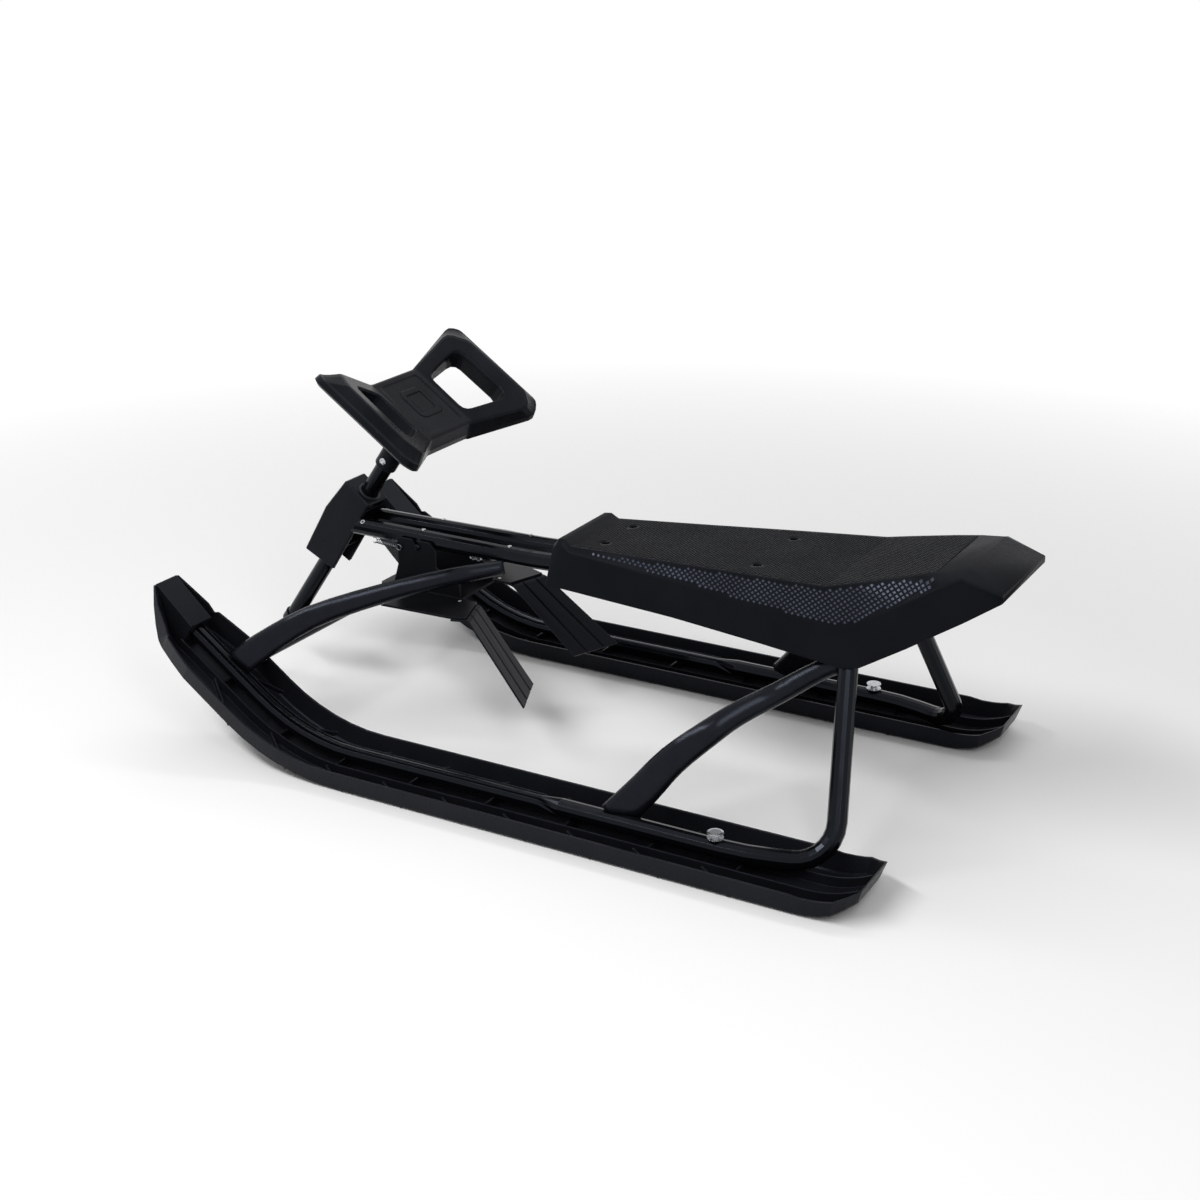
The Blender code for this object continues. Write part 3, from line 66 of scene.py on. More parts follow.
SAT_ON = 0.93                 # faces whose normal rises more than this are sat on
SHOULDER = 0.2                # the shoulders' normals rise at least this much
LOZENGE_TOP = (0.0066, 0.0052, 0.0004, 0.0007, 0.0005)        # pitch along, across, ground, wall, rise
LOZENGE_SHOULDER = (0.0084, 0.0066, 0.0004, 0.0009, 0.0006)   # the same, on the seat's sides
LOZENGE_LIFT = 0.00015        # of the ground between the lozenges above the shell
FIELD_EDGE = 0.0012           # bare edge around the lozenges
SHEET_START = 0.02            # the grid starts this far outside the seat's box
BOLT_CLEAR = 0.0080           # no lozenges this near to a screw's middle
HEAD_SCREW_TURN = (0.0, 0.57, 0.82)    # the way the left screw at the steering head points
FLOOR_RADIUS = 3.2            # well past where the floor has faded out

# Each lamp: name, place, size, watts and the point that it faces
LAMPS = (("key", (0.9, 1.6, 2.3), (2.6, 0.34), 42.0, (0.1, 0.0, 0.1)),
         ("fill", (-1.3, 1.5, 1.6), (0.5, 1.2), 9.0, (0.0, 0.0, 0.2)),
         ("back", (0.2, -1.0, 2.6), (2.4, 0.4), 9.0, (0.0, 0.0, 0.2)))
WORLD_LIGHT = 0.46            # what the world adds to the lamps; it is seen as pure white
WHITE = (1.0, 1.0, 1.0, 1.0)
ORIGIN = (0.0, 0.0, 0.0)


# Colours and material nodes

def linear(hex_code):
    """A colour written as sRGB hex, as the linear values that a shader takes."""
    values = []
    for start in (0, 2, 4):
        part = int(hex_code.lstrip("#")[start:start + 2], 16) / 255
        values.append(part / 12.92 if part <= 0.04045 else ((part + 0.055) / 1.055) ** 2.4)
    return (*values, 1.0)


def add_node(tree, kind, settings=None, inputs=None):
    """Add a node, set its properties and its inputs; an input may be a value or a socket to link."""
    node = tree.nodes.new(kind)
    for key, value in (settings or {}).items():
        setattr(node, key, value)
    for key, value in (inputs or {}).items():
        socket = node.inputs[key]
        if isinstance(value, bpy.types.NodeSocket):
            tree.links.new(value, socket)
        else:
            socket.default_value = value
    return node


def new_material(name, colour, roughness, metallic=0.0):
    """A material with its main shader's even values set; returns it with its tree and shader."""
    material = bpy.data.materials.new(name)
    material.use_nodes = True
    tree = material.node_tree
    shader = tree.nodes["Principled BSDF"]
    shader.inputs["Base Color"].default_value = linear(colour)
    shader.inputs["Roughness"].default_value = roughness
    shader.inputs["Metallic"].default_value = metallic
    # Non-metal reflections are tinted blue-grey: a painted tint that stands in for bluish light, not a colour
    # of the plastic or paint.
    shader.inputs["Specular Tint"].default_value = linear("#dde7ff") if metallic == 0.0 else WHITE
    return material, tree, shader


def noise(tree, scale_mm, detail=3.0):
    """Noise whose patches are about scale_mm across, on the piece's own coordinates."""
    coords = add_node(tree, "ShaderNodeTexCoord").outputs["Object"]
    return add_node(tree, "ShaderNodeTexNoise", None,
                    {"Vector": coords, "Scale": 1000.0 / scale_mm, "Detail": detail})


def spread(tree, source, low, high, from_low=0.3, from_high=0.7):
    """A 0 to 1 pattern brought to a range of values."""
    return add_node(tree, "ShaderNodeMapRange", None,
                    {"Value": source, "From Min": from_low, "From Max": from_high, "To Min": low,
                     "To Max": high}).outputs["Result"]


def tint(tree, factor, first, second):
    """Two colours mixed by a 0 to 1 pattern."""
    mix = add_node(tree, "ShaderNodeMix", {"data_type": "RGBA"})
    tree.links.new(factor, mix.inputs["Factor"])
    mix.inputs["A"].default_value = linear(first)
    mix.inputs["B"].default_value = linear(second)
    return mix.outputs["Result"]


def soften(tree, shader, edge_mm, height=None, strength=0.1, distance_mm=0.05):
    """Edges rounded by edge_mm as the light sees them, with small relief from a height pattern on top."""
    edge = add_node(tree, "ShaderNodeBevel", {"samples": 8}, {"Radius": edge_mm / 1000.0})
    normal = edge.outputs["Normal"]
    if height is not None:
        relief = add_node(tree, "ShaderNodeBump", None,
                          {"Height": height, "Normal": normal, "Strength": strength,
                           "Distance": distance_mm / 1000.0})
        normal = relief.outputs["Normal"]
    tree.links.new(normal, shader.inputs["Normal"])
    return edge.outputs["Normal"]


def edge_wear(tree, edge_normal, low=0.02, high=0.25):
    """0 on open surfaces, rising to 1 where an edge is rounded and rubbed, broken up by scuffs."""
    surface = add_node(tree, "ShaderNodeNewGeometry").outputs["Normal"]
    dot = add_node(tree, "ShaderNodeVectorMath", {"operation": "DOT_PRODUCT"}, {0: edge_normal, 1: surface})
    bend = add_node(tree, "ShaderNodeMath", {"operation": "SUBTRACT"}, {0: 1.0, 1: dot.outputs["Value"]})
    edge = spread(tree, bend.outputs[0], 0.0, 1.0, low, high)
    patches = spread(tree, noise(tree, 9.0, 4.0).outputs["Fac"], 0.35, 1.0)    # rubs come in spots of 9 mm
    return add_node(tree, "ShaderNodeMath", {"operation": "MULTIPLY"}, {0: edge, 1: patches}).outputs[0]


def moulded_plastic(name, colour, worn, dark, edge_mm=1.2, roughness=(0.26, 0.36), gloss=0.10):
    """Moulded plastic: even black with slow flow marks, fine scuffs in its gloss and paler rubbed edges."""
    material, tree, shader = new_material(name, colour, roughness[0])
    shader.inputs["Specular IOR Level"].default_value = gloss
    flow = noise(tree, 55.0, 2.0).outputs["Fac"]    # coarse on purpose: melt cools in broad clouds
    grain = noise(tree, 0.9, 2.0).outputs["Fac"]
    edge = soften(tree, shader, edge_mm, grain, 0.10, 0.04)
    body = tint(tree, spread(tree, flow, 0.0, 1.0), colour, dark)
    mix = add_node(tree, "ShaderNodeMix", {"data_type": "RGBA"})
    tree.links.new(edge_wear(tree, edge), mix.inputs["Factor"])
    tree.links.new(body, mix.inputs["A"])
    mix.inputs["B"].default_value = linear(worn)
    tree.links.new(mix.outputs["Result"], shader.inputs["Base Color"])
    scuff = noise(tree, 4.0, 5.0).outputs["Fac"]
    tree.links.new(spread(tree, scuff, *roughness), shader.inputs["Roughness"])
    return material


def moulded_hdpe(colour):
    """Injection-moulded polyethylene of the skis and the cover: satin, slate where it shines."""
    return moulded_plastic("moulded_polyethylene", colour, "#343741", "#131417")


def moulded_abs(colour):
    """Moulded ABS of the hand plate: thick, with generous rounded edges and a tight satin skin."""
    return moulded_plastic("moulded_abs", colour, "#26282e", "#0c0d0e",
                           edge_mm=3.2, roughness=(0.24, 0.34), gloss=0.07)


def seat_skin(colour):
    """Moulded polypropylene of the seat: a fine spark grain, softer in shine than the skis."""
    return moulded_plastic("moulded_polypropylene", colour, "#26282d", "#101114",
                           edge_mm=4.0, roughness=(0.36, 0.46), gloss=0.04)


def seat_grip_painted_light():
    """The tops of the small lozenges that are sat on: painted paler than the seat's plastic as painted light,
    dull, and a little paler at their edges.
    """
    return moulded_plastic("moulded_polypropylene_grip", "#2d2e30", "#393a3d", "#212224",
                           edge_mm=0.5, roughness=(0.34, 0.44), gloss=0.04)


def seat_ground_painted_shade():
    """The hollow between the small lozenges, painted darker than the lozenge tops: painted shade."""
    return moulded_plastic("moulded_polypropylene_ground", "#18191b", "#1f2022", "#111213",
                           edge_mm=0.5, roughness=(0.45, 0.55), gloss=0.02)


def seat_side_painted_glint():
    """The tops of the larger lozenges on the shoulders: painted blue-grey, paler blue-grey at their edges, as
    a painted glint.
    """
    return moulded_plastic("moulded_polypropylene_shoulder", "#3d4250", "#565c6e", "#2b2f39",
                           edge_mm=0.6, roughness=(0.22, 0.30), gloss=0.30)


def powder_coat(colour, name="gloss_powder_coat", edge_mm=0.8):
    """Gloss powder coat on steel tube: deep black with an orange-peel skin that breaks reflections.

    An edge as broad as the tube rounds its facets into one streak, and then no edge is rubbed.
    """
    broad = edge_mm > 2.0
    material, tree, shader = new_material(name, colour, 0.2)
    shader.inputs["Specular IOR Level"].default_value = 0.17
    patches = noise(tree, 30.0, 3.0).outputs["Fac"]    # coarse on purpose: the coat flows out along the tube
    tree.links.new(spread(tree, patches, 0.12, 0.18), shader.inputs["Roughness"])
    edge = soften(tree, shader, edge_mm, noise(tree, 2.2, 1.0).outputs["Fac"], 0.08, 0.05)
    worn = noise(tree, 14.0, 4.0).outputs["Fac"] if broad else edge_wear(tree, edge)    # scuffs of 14 mm
    coat = tint(tree, worn, colour, "#14151a" if broad else "#2a2d35")
    tree.links.new(coat, shader.inputs["Base Color"])
    return material


def satin_paint(colour):
    """Satin paint on folded sheet steel: greyer than the tubes, with a fine tooth and paler folds."""
    material, tree, shader = new_material("satin_sheet_paint", colour, 0.34)
    shader.inputs["Specular IOR Level"].default_value = 0.09
    grain = noise(tree, 1.1, 3.0).outputs["Fac"]
    tree.links.new(spread(tree, grain, 0.28, 0.40), shader.inputs["Roughness"])
    edge = soften(tree, shader, 0.8, grain, 0.14, 0.05)
    paint = tint(tree, edge_wear(tree, edge, 0.01, 0.15), colour, "#33363f")
    tree.links.new(paint, shader.inputs["Base Color"])
    return material


def zinc_plate(colour):
    """Bright zinc plating on steel: cool grey metal, cloudy in gloss, with duller patches."""
    material, tree, shader = new_material("bright_zinc_plate", colour, 0.2, 1.0)
    patch = noise(tree, 2.5, 4.0).outputs["Fac"]
    tree.links.new(tint(tree, spread(tree, patch, 0.0, 1.0), colour, "#93979b"), shader.inputs["Base Color"])
    tree.links.new(spread(tree, patch, 0.14, 0.34), shader.inputs["Roughness"])
    soften(tree, shader, 0.35, noise(tree, 0.7, 2.0).outputs["Fac"], 0.10, 0.03)
    return material


def oiled_steel(colour):
    """Drawn spring steel, blackened and oiled: dark metal that glints along the wire."""
    material, tree, shader = new_material("oiled_spring_steel", colour, 0.28, 1.0)
    streak = noise(tree, 1.2, 3.0).outputs["Fac"]
    tree.links.new(tint(tree, spread(tree, streak, 0.0, 1.0), colour, "#85888d"), shader.inputs["Base Color"])
    soften(tree, shader, 0.2, streak, 0.10, 0.02)
    return material


def black_nylon(colour):
    """Moulded nylon of the column's bushes: dull black, dusted with wear from the turning column."""
    material, tree, shader = new_material("moulded_nylon", colour, 0.5)
    shader.inputs["Specular IOR Level"].default_value = 0.3
    dust = noise(tree, 3.0, 4.0).outputs["Fac"]
    tree.links.new(tint(tree, spread(tree, dust, 0.0, 1.0), colour, "#2a2a2b"), shader.inputs["Base Color"])
    soften(tree, shader, 0.4, dust, 0.10, 0.04)
    return material


def pale_floor(colour):
    """Matt painted board: it fades out round the object, so that the white backdrop takes over."""
    material, tree, shader = new_material("matt_white_board", colour, 0.9)
    shader.inputs["Specular IOR Level"].default_value = 0.0
    coords = add_node(tree, "ShaderNodeTexCoord").outputs["Object"]
    distance = add_node(tree, "ShaderNodeVectorMath", {"operation": "LENGTH"}, {0: coords}).outputs["Value"]
    tree.links.new(spread(tree, distance, 1.0, 0.0, 0.9, 2.2), shader.inputs["Alpha"])
    return material


def paint_cad(names, material):
    """Put one finish on solids that stay as they are."""
    for name in names:
        obj = NODES[name]
        obj.data.materials.clear()
        obj.data.materials.append(material)


def both_sides(*stems):
    """The left and right names of pieces that come in pairs."""
    return [f"{stem}_{side}" for stem in stems for side in ("left", "right")]


# Modelling helpers

def clear_selection():
    """Leave edit mode with nothing selected."""
    if bpy.context.object and bpy.context.object.mode != "OBJECT":
        bpy.ops.object.mode_set(mode="OBJECT")
    bpy.ops.object.select_all(action="DESELECT")


def take(obj):
    """Select one object alone and make it active."""
    clear_selection()
    obj.select_set(True)
    bpy.context.view_layer.objects.active = obj


def copy_of_node(node, name, crease_deg=28.0):
    """A merged copy of a CAD node's mesh, shaded smooth between its creases."""
    take(NODES[node])
    bpy.ops.object.duplicate()
    copy = bpy.context.object
    for key in list(copy.keys()):
        del copy[key]
    copy.name = name
    copy.parent = None
    bpy.ops.object.mode_set(mode="EDIT")
    bpy.ops.mesh.select_all(action="SELECT")
    bpy.ops.mesh.remove_doubles(threshold=0.00005)
    bpy.ops.mesh.dissolve_limited(angle_limit=math.radians(1.0))
    bpy.ops.object.mode_set(mode="OBJECT")
    bpy.ops.object.shade_smooth_by_angle(angle=math.radians(crease_deg))
    return copy


def start_piece(name):
    """Name the primitive just added and go on to shape it with all of it selected."""
    bpy.context.object.name = name
    bpy.context.object.data.name = name
    bpy.ops.object.mode_set(mode="EDIT")
    bpy.ops.mesh.select_mode(type="FACE")
    bpy.ops.mesh.select_all(action="SELECT")
    return bpy.context.object


def pick(obj, kind, test):
    """Select only the faces, edges or vertices whose middle (and normal, for faces) passes a test."""
    mesh = bmesh.from_edit_mesh(obj.data)
    bpy.ops.mesh.select_mode(type={"faces": "FACE", "edges": "EDGE", "verts": "VERT"}[kind])
    bpy.ops.mesh.select_all(action="DESELECT")
    for part in getattr(mesh, kind):
        if kind == "faces":
            chosen = test(part.calc_center_median(), part.normal)
        elif kind == "edges":
            chosen = test((part.verts[0].co + part.verts[1].co) / 2, part)
        else:
            chosen = test(part.co, part)
        part.select_set(chosen)
    mesh.select_flush_mode()
    bmesh.update_edit_mesh(obj.data)


def end_piece(obj, crease_deg=40.0):
    """Leave edit mode with the faces outwards and the surface smooth between its creases."""
    bpy.ops.mesh.select_all(action="SELECT")
    bpy.ops.mesh.normals_make_consistent(inside=False)
    bpy.ops.object.mode_set(mode="OBJECT")
    bpy.ops.object.shade_smooth_by_angle(angle=math.radians(crease_deg))


def put(obj, place, up=(0.0, 0.0, 1.0), along=None):
    """Set a piece with its own z on a direction and its place in its mesh."""
    z = Vector(up).normalized()
    x = Vector(along if along else (1.0, 0.0, 0.0))
    x = (x - z * x.dot(z)).normalized()
    turn = Matrix((x, z.cross(x), z)).transposed().to_4x4()
    obj.matrix_world = Matrix.Translation(Vector(place)) @ turn
    take(obj)
    bpy.ops.object.transform_apply(location=True, rotation=True, scale=True)


def copy_of(obj, name):
    """A copy of a new piece, under its own name."""
    take(obj)
    bpy.ops.object.duplicate()
    bpy.context.object.name = name
    bpy.context.object.data.name = name
    return bpy.context.object


def hand_over(obj, body, material):
    """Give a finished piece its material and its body."""
    obj.data.materials.clear()
    obj.data.materials.append(material)
    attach(obj, body)


def finish(name):
    """A finish that the first step made."""
    return bpy.data.materials[name]


def at(x, y, z):
    """A point counted from the skis' rear end."""
    return (ZERO_X + x, y, z)


def mirrored(place):
    """The same place or direction on the other side of the sled."""
    return (place[0], -place[1], place[2])


def seat_field(name, test):
    """The part of the seat's shell that a test chooses, drawn in from its outline, to wrap lozenges on."""
    take(bpy.data.objects["seat_shell"])
    bpy.ops.object.duplicate()
    field = bpy.context.object
    field.name = name
    bpy.ops.object.mode_set(mode="EDIT")
    for x in (ZERO_X + SEAT_TAIL_X, ZERO_X + SEAT_LIP_X):
        bpy.ops.mesh.select_all(action="SELECT")
        bpy.ops.mesh.bisect(plane_co=(x, 0.0, 0.0), plane_no=(1.0, 0.0, 0.0))
    pick(field, "faces", test)
    bpy.ops.mesh.inset(thickness=FIELD_EDGE, use_even_offset=True, use_boundary=True)
    bpy.ops.mesh.select_all(action="INVERT")
    bpy.ops.mesh.delete(type="FACE")
    bpy.ops.object.mode_set(mode="OBJECT")
    return field


def lozenge_sheet(name, field, place, facing, size, shape, bolts, materials):
    """Raised lozenges: a grid turned corner-up and wrapped on a field, and what misses the field cut away.

    The lozenges' tops get the second material and the ground and walls the first.
    """
    along, across, ground, wall, rise = shape
    facing = Vector(facing)
    clear_selection()
    cells = int(size[0] / along + size[1] / across) + 2
    bpy.ops.mesh.primitive_grid_add(x_subdivisions=cells, y_subdivisions=cells, size=1.0, location=ORIGIN)
    sheet = start_piece(name)
    bpy.ops.transform.rotate(value=math.radians(45.0), orient_axis="Z", center_override=ORIGIN)
    bpy.ops.transform.resize(value=(along * cells / math.sqrt(2.0), across * cells / math.sqrt(2.0), 1.0),
                             center_override=ORIGIN)
    bpy.ops.object.mode_set(mode="OBJECT")
    put(sheet, place, facing)
    wrap = sheet.modifiers.new("wrap", "SHRINKWRAP")
    wrap.target = field
    wrap.wrap_method = "PROJECT"
    wrap.wrap_mode = "ABOVE_SURFACE"
    wrap.offset = LOZENGE_LIFT
    wrap.use_project_x, wrap.use_project_y, wrap.use_project_z = False, facing.y != 0.0, facing.z != 0.0
    wrap.use_negative_direction = sum(facing) > 0.0
    wrap.use_positive_direction = sum(facing) < 0.0
    bpy.ops.object.modifier_apply(modifier=wrap.name)
    bpy.data.objects.remove(field)
    take(sheet)
    bpy.ops.object.mode_set(mode="EDIT")
    start = Vector(place).dot(facing) - 0.001    # what still lies out here found no field to land on
    pick(sheet, "verts", lambda middle, vert: middle.dot(facing) > start)
    bpy.ops.mesh.delete(type="VERT")
    steep = 0.35                                 # steeper faces hang over an edge
    pick(sheet, "faces", lambda middle, normal: abs(normal.dot(facing)) < steep
         or any(math.hypot(middle.x - x, middle.y - y) < BOLT_CLEAR for x, y in bolts))
    bpy.ops.mesh.delete(type="FACE")
    bpy.ops.mesh.select_all(action="SELECT")
    bpy.ops.mesh.delete_loose(use_faces=False)
    bpy.ops.mesh.select_mode(type="FACE")
    bpy.ops.mesh.select_all(action="SELECT")
    bpy.ops.mesh.inset(thickness=ground, use_individual=True)
    bpy.ops.mesh.inset(thickness=wall, depth=rise, use_individual=True)
    for material in materials:
        sheet.data.materials.append(material)
    sheet.active_material_index = 1
    bpy.ops.object.material_slot_assign()
    bpy.ops.object.mode_set(mode="OBJECT")
    bpy.ops.object.shade_smooth_by_angle(angle=math.radians(12.0))
    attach(sheet, "frame")


def middle_of(node):
    """The plan place of a CAD node's box."""
    low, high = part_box(node)
    return (low[0] + high[0]) / 2, (low[1] + high[1]) / 2


def pan_head(name, radius, height):
    """A small pan-head screw with a socket, standing on z = 0."""
    clear_selection()
    bpy.ops.mesh.primitive_cylinder_add(vertices=24, radius=radius, depth=height,
                                        location=(0.0, 0.0, height / 2))
    obj = start_piece(name)
    pick(obj, "faces", lambda middle, normal: normal.z > 0.9)
    bpy.ops.mesh.inset(thickness=radius * 0.45)
    bpy.ops.mesh.extrude_region_move(TRANSFORM_OT_translate={"value": (0.0, 0.0, -height * 0.6)})
    bpy.ops.transform.resize(value=(0.8, 0.8, 1.0), center_override=(0.0, 0.0, height * 0.4))
    top = height * 0.99
    pick(obj, "edges", lambda middle, edge: middle.z > top and math.hypot(middle.x, middle.y) > radius * 0.8)
    bpy.ops.mesh.bevel(offset=height * 0.35, segments=3, profile=0.5)
    end_piece(obj)
    return obj


def dome_rivet(name, radius, height):
    """A domed rivet head on z = 0: rings drawn in as they rise."""
    clear_selection()
    bpy.ops.mesh.primitive_circle_add(vertices=24, radius=radius, fill_type="NGON", location=ORIGIN)
    obj = start_piece(name)
    for step in range(1, 5):
        low, high = math.radians(22.5 * (step - 1)), math.radians(22.5 * step)
        rise = height * (math.sin(high) - math.sin(low))
        ratio = max(math.cos(high), 0.08) / math.cos(low)
        bpy.ops.mesh.extrude_region_move(TRANSFORM_OT_translate={"value": (0.0, 0.0, rise)})
        bpy.ops.transform.resize(value=(ratio, ratio, 1.0),
                                 center_override=(0.0, 0.0, height * math.sin(high)))
    end_piece(obj)
    return obj


# Adjustable values

class SledColours(bpy.types.PropertyGroup):
    """Base colours of the finishes, as sRGB hex"""

    plastic: bpy.props.StringProperty(name="Plastic", description="Moulded skis, cover and hand plate",
                                      default="#18191d")
    seat: bpy.props.StringProperty(name="Seat", description="Plastic of the seat", default="#131417")
    tube: bpy.props.StringProperty(name="Tubes", description="Powder coat on the tubes", default="#07080a")
    sheet: bpy.props.StringProperty(name="Sheet steel", description="Paint on brackets and brake",
                                    default="#0f1012")
    plating: bpy.props.StringProperty(name="Plating", description="Zinc on screws and pins",
                                      default="#c9cbcd")
    floor: bpy.props.StringProperty(name="Floor", description="Floor", default="#fbfbfb")


class SledView(bpy.types.PropertyGroup):
    """Where the photograph was taken from"""

    eye: bpy.props.FloatVectorProperty(name="Eye", description="Where the camera stands", subtype="XYZ",
                                       unit="LENGTH", default=(ZERO_X - 0.6776, 2.0873, 1.1349))
    heading: bpy.props.FloatProperty(name="Heading", description="Turn of the view from forward",
                                     subtype="ANGLE", unit="ROTATION", default=math.radians(-60.30))
    tilt: bpy.props.FloatProperty(name="Tilt", description="How far the view looks down", subtype="ANGLE",
                                  unit="ROTATION", default=math.radians(21.09))
    roll: bpy.props.FloatProperty(name="Roll", description="Turn of the picture", subtype="ANGLE",
                                  unit="ROTATION", default=math.radians(-0.39))
    lens: bpy.props.FloatProperty(name="Lens", description="Focal length on a 36 mm wide film",
                                  unit="CAMERA", default=56.31)


# Pieces

class SLED_OT_finishes(bpy.types.Operator):
    """Give the solids that stay their finishes"""

    bl_idname = "sled.finishes"
    bl_label = "Finishes"

    def execute(self, context):
        colours = context.scene.sled_colours
        plastic = moulded_hdpe(colours.plastic)
        tube = powder_coat(colours.tube)
        sheet = satin_paint(colours.sheet)
        zinc = zinc_plate(colours.plating)
        nylon = black_nylon(colours.sheet)
        paint_cad(["handle"], moulded_abs(colours.plastic))
        paint_cad(both_sides("ski") + ["head_cover"], plastic)
        paint_cad(["upper_bush", "lower_bush"], nylon)
        paint_cad(both_sides("side_tube", "brake_pin") + ["cross_tube", "column"], tube)
        paint_cad(both_sides("front_strut", "rear_strut"),
                  powder_coat(colours.tube, "gloss_powder_coat_strut", 13.0))
        paint_cad(["head_bracket", "brake_plate"] + both_sides("brake_claw"), sheet)
        paint_cad(both_sides("runner_bolt", "beam_screw_1", "beam_screw_2", "seat_bolt_1", "seat_bolt_2")
                  + ["handle_rivet"], zinc)
        paint_cad(["brake_spring"], oiled_steel("#55575b"))
        paint_cad(["seat"], seat_skin(colours.seat))
        return {"FINISHED"}


class SLED_OT_seat_shell(bpy.types.Operator):
    """Make the seat's shell, with its faces merged and its folds soft"""

    bl_idname = "sled.seat_shell"
    bl_label = "Seat shell"

    def execute(self, context):
        shell = copy_of_node("seat", "seat_shell")
        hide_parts("seat")
        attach(shell, "frame")
        return {"FINISHED"}


class SLED_OT_seat_lozenges(bpy.types.Operator):
    """Raise the staggered lozenges on the seat's top and on its two shoulders"""

    bl_idname = "sled.seat_lozenges"
    bl_label = "Seat lozenges"

    def execute(self, context):
        # The shoulders' lozenge tops are painted blue-grey: a painted glint.
        ground, glint = finish("moulded_polypropylene"), seat_side_painted_glint()
        low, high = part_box("seat")
        front, rear = ZERO_X + SEAT_LIP_X, ZERO_X + SEAT_TAIL_X
        middle_x, length = (front + rear) / 2, front - rear

        def in_field(middle):
            return rear < middle.x < front and middle.z > low[2] + SEAT_SKIRT

        def sat_on(middle, normal):
            return in_field(middle) and normal.z > SAT_ON

        def shoulder(middle, normal):
            return in_field(middle) and abs(normal.x) < 0.5 and SHOULDER < normal.z <= SAT_ON

        bolts = [middle_of(bolt) for bolt in both_sides("seat_bolt_1", "seat_bolt_2")]
        # The hollows between the top's lozenges get painted shade, darker than the lozenge tops.
        lozenge_sheet("seat_lozenges_top", seat_field("top_field", sat_on),
                      (middle_x, 0.0, high[2] + SHEET_START), (0.0, 0.0, 1.0), (length, 2 * high[1]),
                      # The top's lozenge tops are painted paler than the seat's plastic: painted light.
                      LOZENGE_TOP, bolts, (seat_ground_painted_shade(), seat_grip_painted_light()))
        for side, sign in (("left", 1.0), ("right", -1.0)):
            field = seat_field("shoulder_field",
                               lambda middle, normal: shoulder(middle, normal) and middle.y * sign > 0.0)
            lozenge_sheet(f"seat_lozenges_{side}", field,
                          (middle_x, sign * (high[1] + SHEET_START), (low[2] + high[2]) / 2),
                          (0.0, sign, 0.0), (length, high[2] - low[2]),
                          LOZENGE_SHOULDER, bolts, (ground, glint))
        return {"FINISHED"}


class SLED_OT_plate_panel(bpy.types.Operator):
    """Make the raised field with a sunk middle on the hand plate, left bare"""

    bl_idname = "sled.plate_panel"
    bl_label = "Hand plate panel"

    def execute(self, context):
        length, width, corner = 0.054, 0.052, 0.011
        rise, rim, sink = 0.0010, 0.0085, 0.0007
        plate_face = 0.1061                 # up the axis from the turning point
        forward, aside = 0.005, -0.003
        clear_selection()
        bpy.ops.mesh.primitive_plane_add(size=1.0, location=ORIGIN)
        field = start_piece("plate_panel")
        bpy.ops.transform.resize(value=(length, width, 1.0), center_override=ORIGIN)
        pick(field, "verts", lambda place, vert: True)
        bpy.ops.mesh.bevel(offset=corner, segments=8, affect="VERTICES")
        pick(field, "faces", lambda middle, normal: True)
        bpy.ops.mesh.extrude_region_move(TRANSFORM_OT_translate={"value": (0.0, 0.0, rise)})
        bpy.ops.transform.resize(value=(0.965, 0.965, 1.0), center_override=(0.0, 0.0, rise))
        bpy.ops.mesh.inset(thickness=rim)
        bpy.ops.mesh.extrude_region_move(TRANSFORM_OT_translate={"value": (0.0, 0.0, -sink)})
        bpy.ops.transform.resize(value=(0.95, 0.95, 1.0), center_override=(0.0, 0.0, rise - sink))
        end_piece(field, 30.0)
        along = AXIS.cross(Vector((0.0, 1.0, 0.0))) * -1.0
        put(field, TURN_POINT + AXIS * plate_face + along * forward + Vector((0.0, aside, 0.0)), AXIS, along)
        hand_over(field, "steering", finish("moulded_abs"))
        return {"FINISHED"}


class SLED_OT_column_collar(bpy.types.Operator):
    """Make the flange of the bush that the column turns in, on top of the cover"""

    bl_idname = "sled.column_collar"
    bl_label = "Column collar"

    def execute(self, context):
        radius, height, wall, sunk = 0.0168, 0.0035, 0.0040, 0.0030
        cover_top = 0.0700                  # down the axis from the turning point
        clear_selection()
        bpy.ops.mesh.primitive_circle_add(vertices=48, radius=radius, fill_type="NGON", location=ORIGIN)
        collar = start_piece("column_collar")
        bpy.ops.mesh.extrude_region_move(TRANSFORM_OT_translate={"value": (0.0, 0.0, height)})
        bpy.ops.mesh.inset(thickness=wall)
        bpy.ops.mesh.extrude_region_move(TRANSFORM_OT_translate={"value": (0.0, 0.0, -sunk)})
        pick(collar, "edges", lambda middle, edge: middle.z > height - 0.0001)
        bpy.ops.mesh.bevel(offset=0.0010, segments=3, profile=0.5)
        end_piece(collar)
        put(collar, TURN_POINT - AXIS * cover_top, AXIS)
        hand_over(collar, "frame", finish("moulded_nylon"))
        return {"FINISHED"}


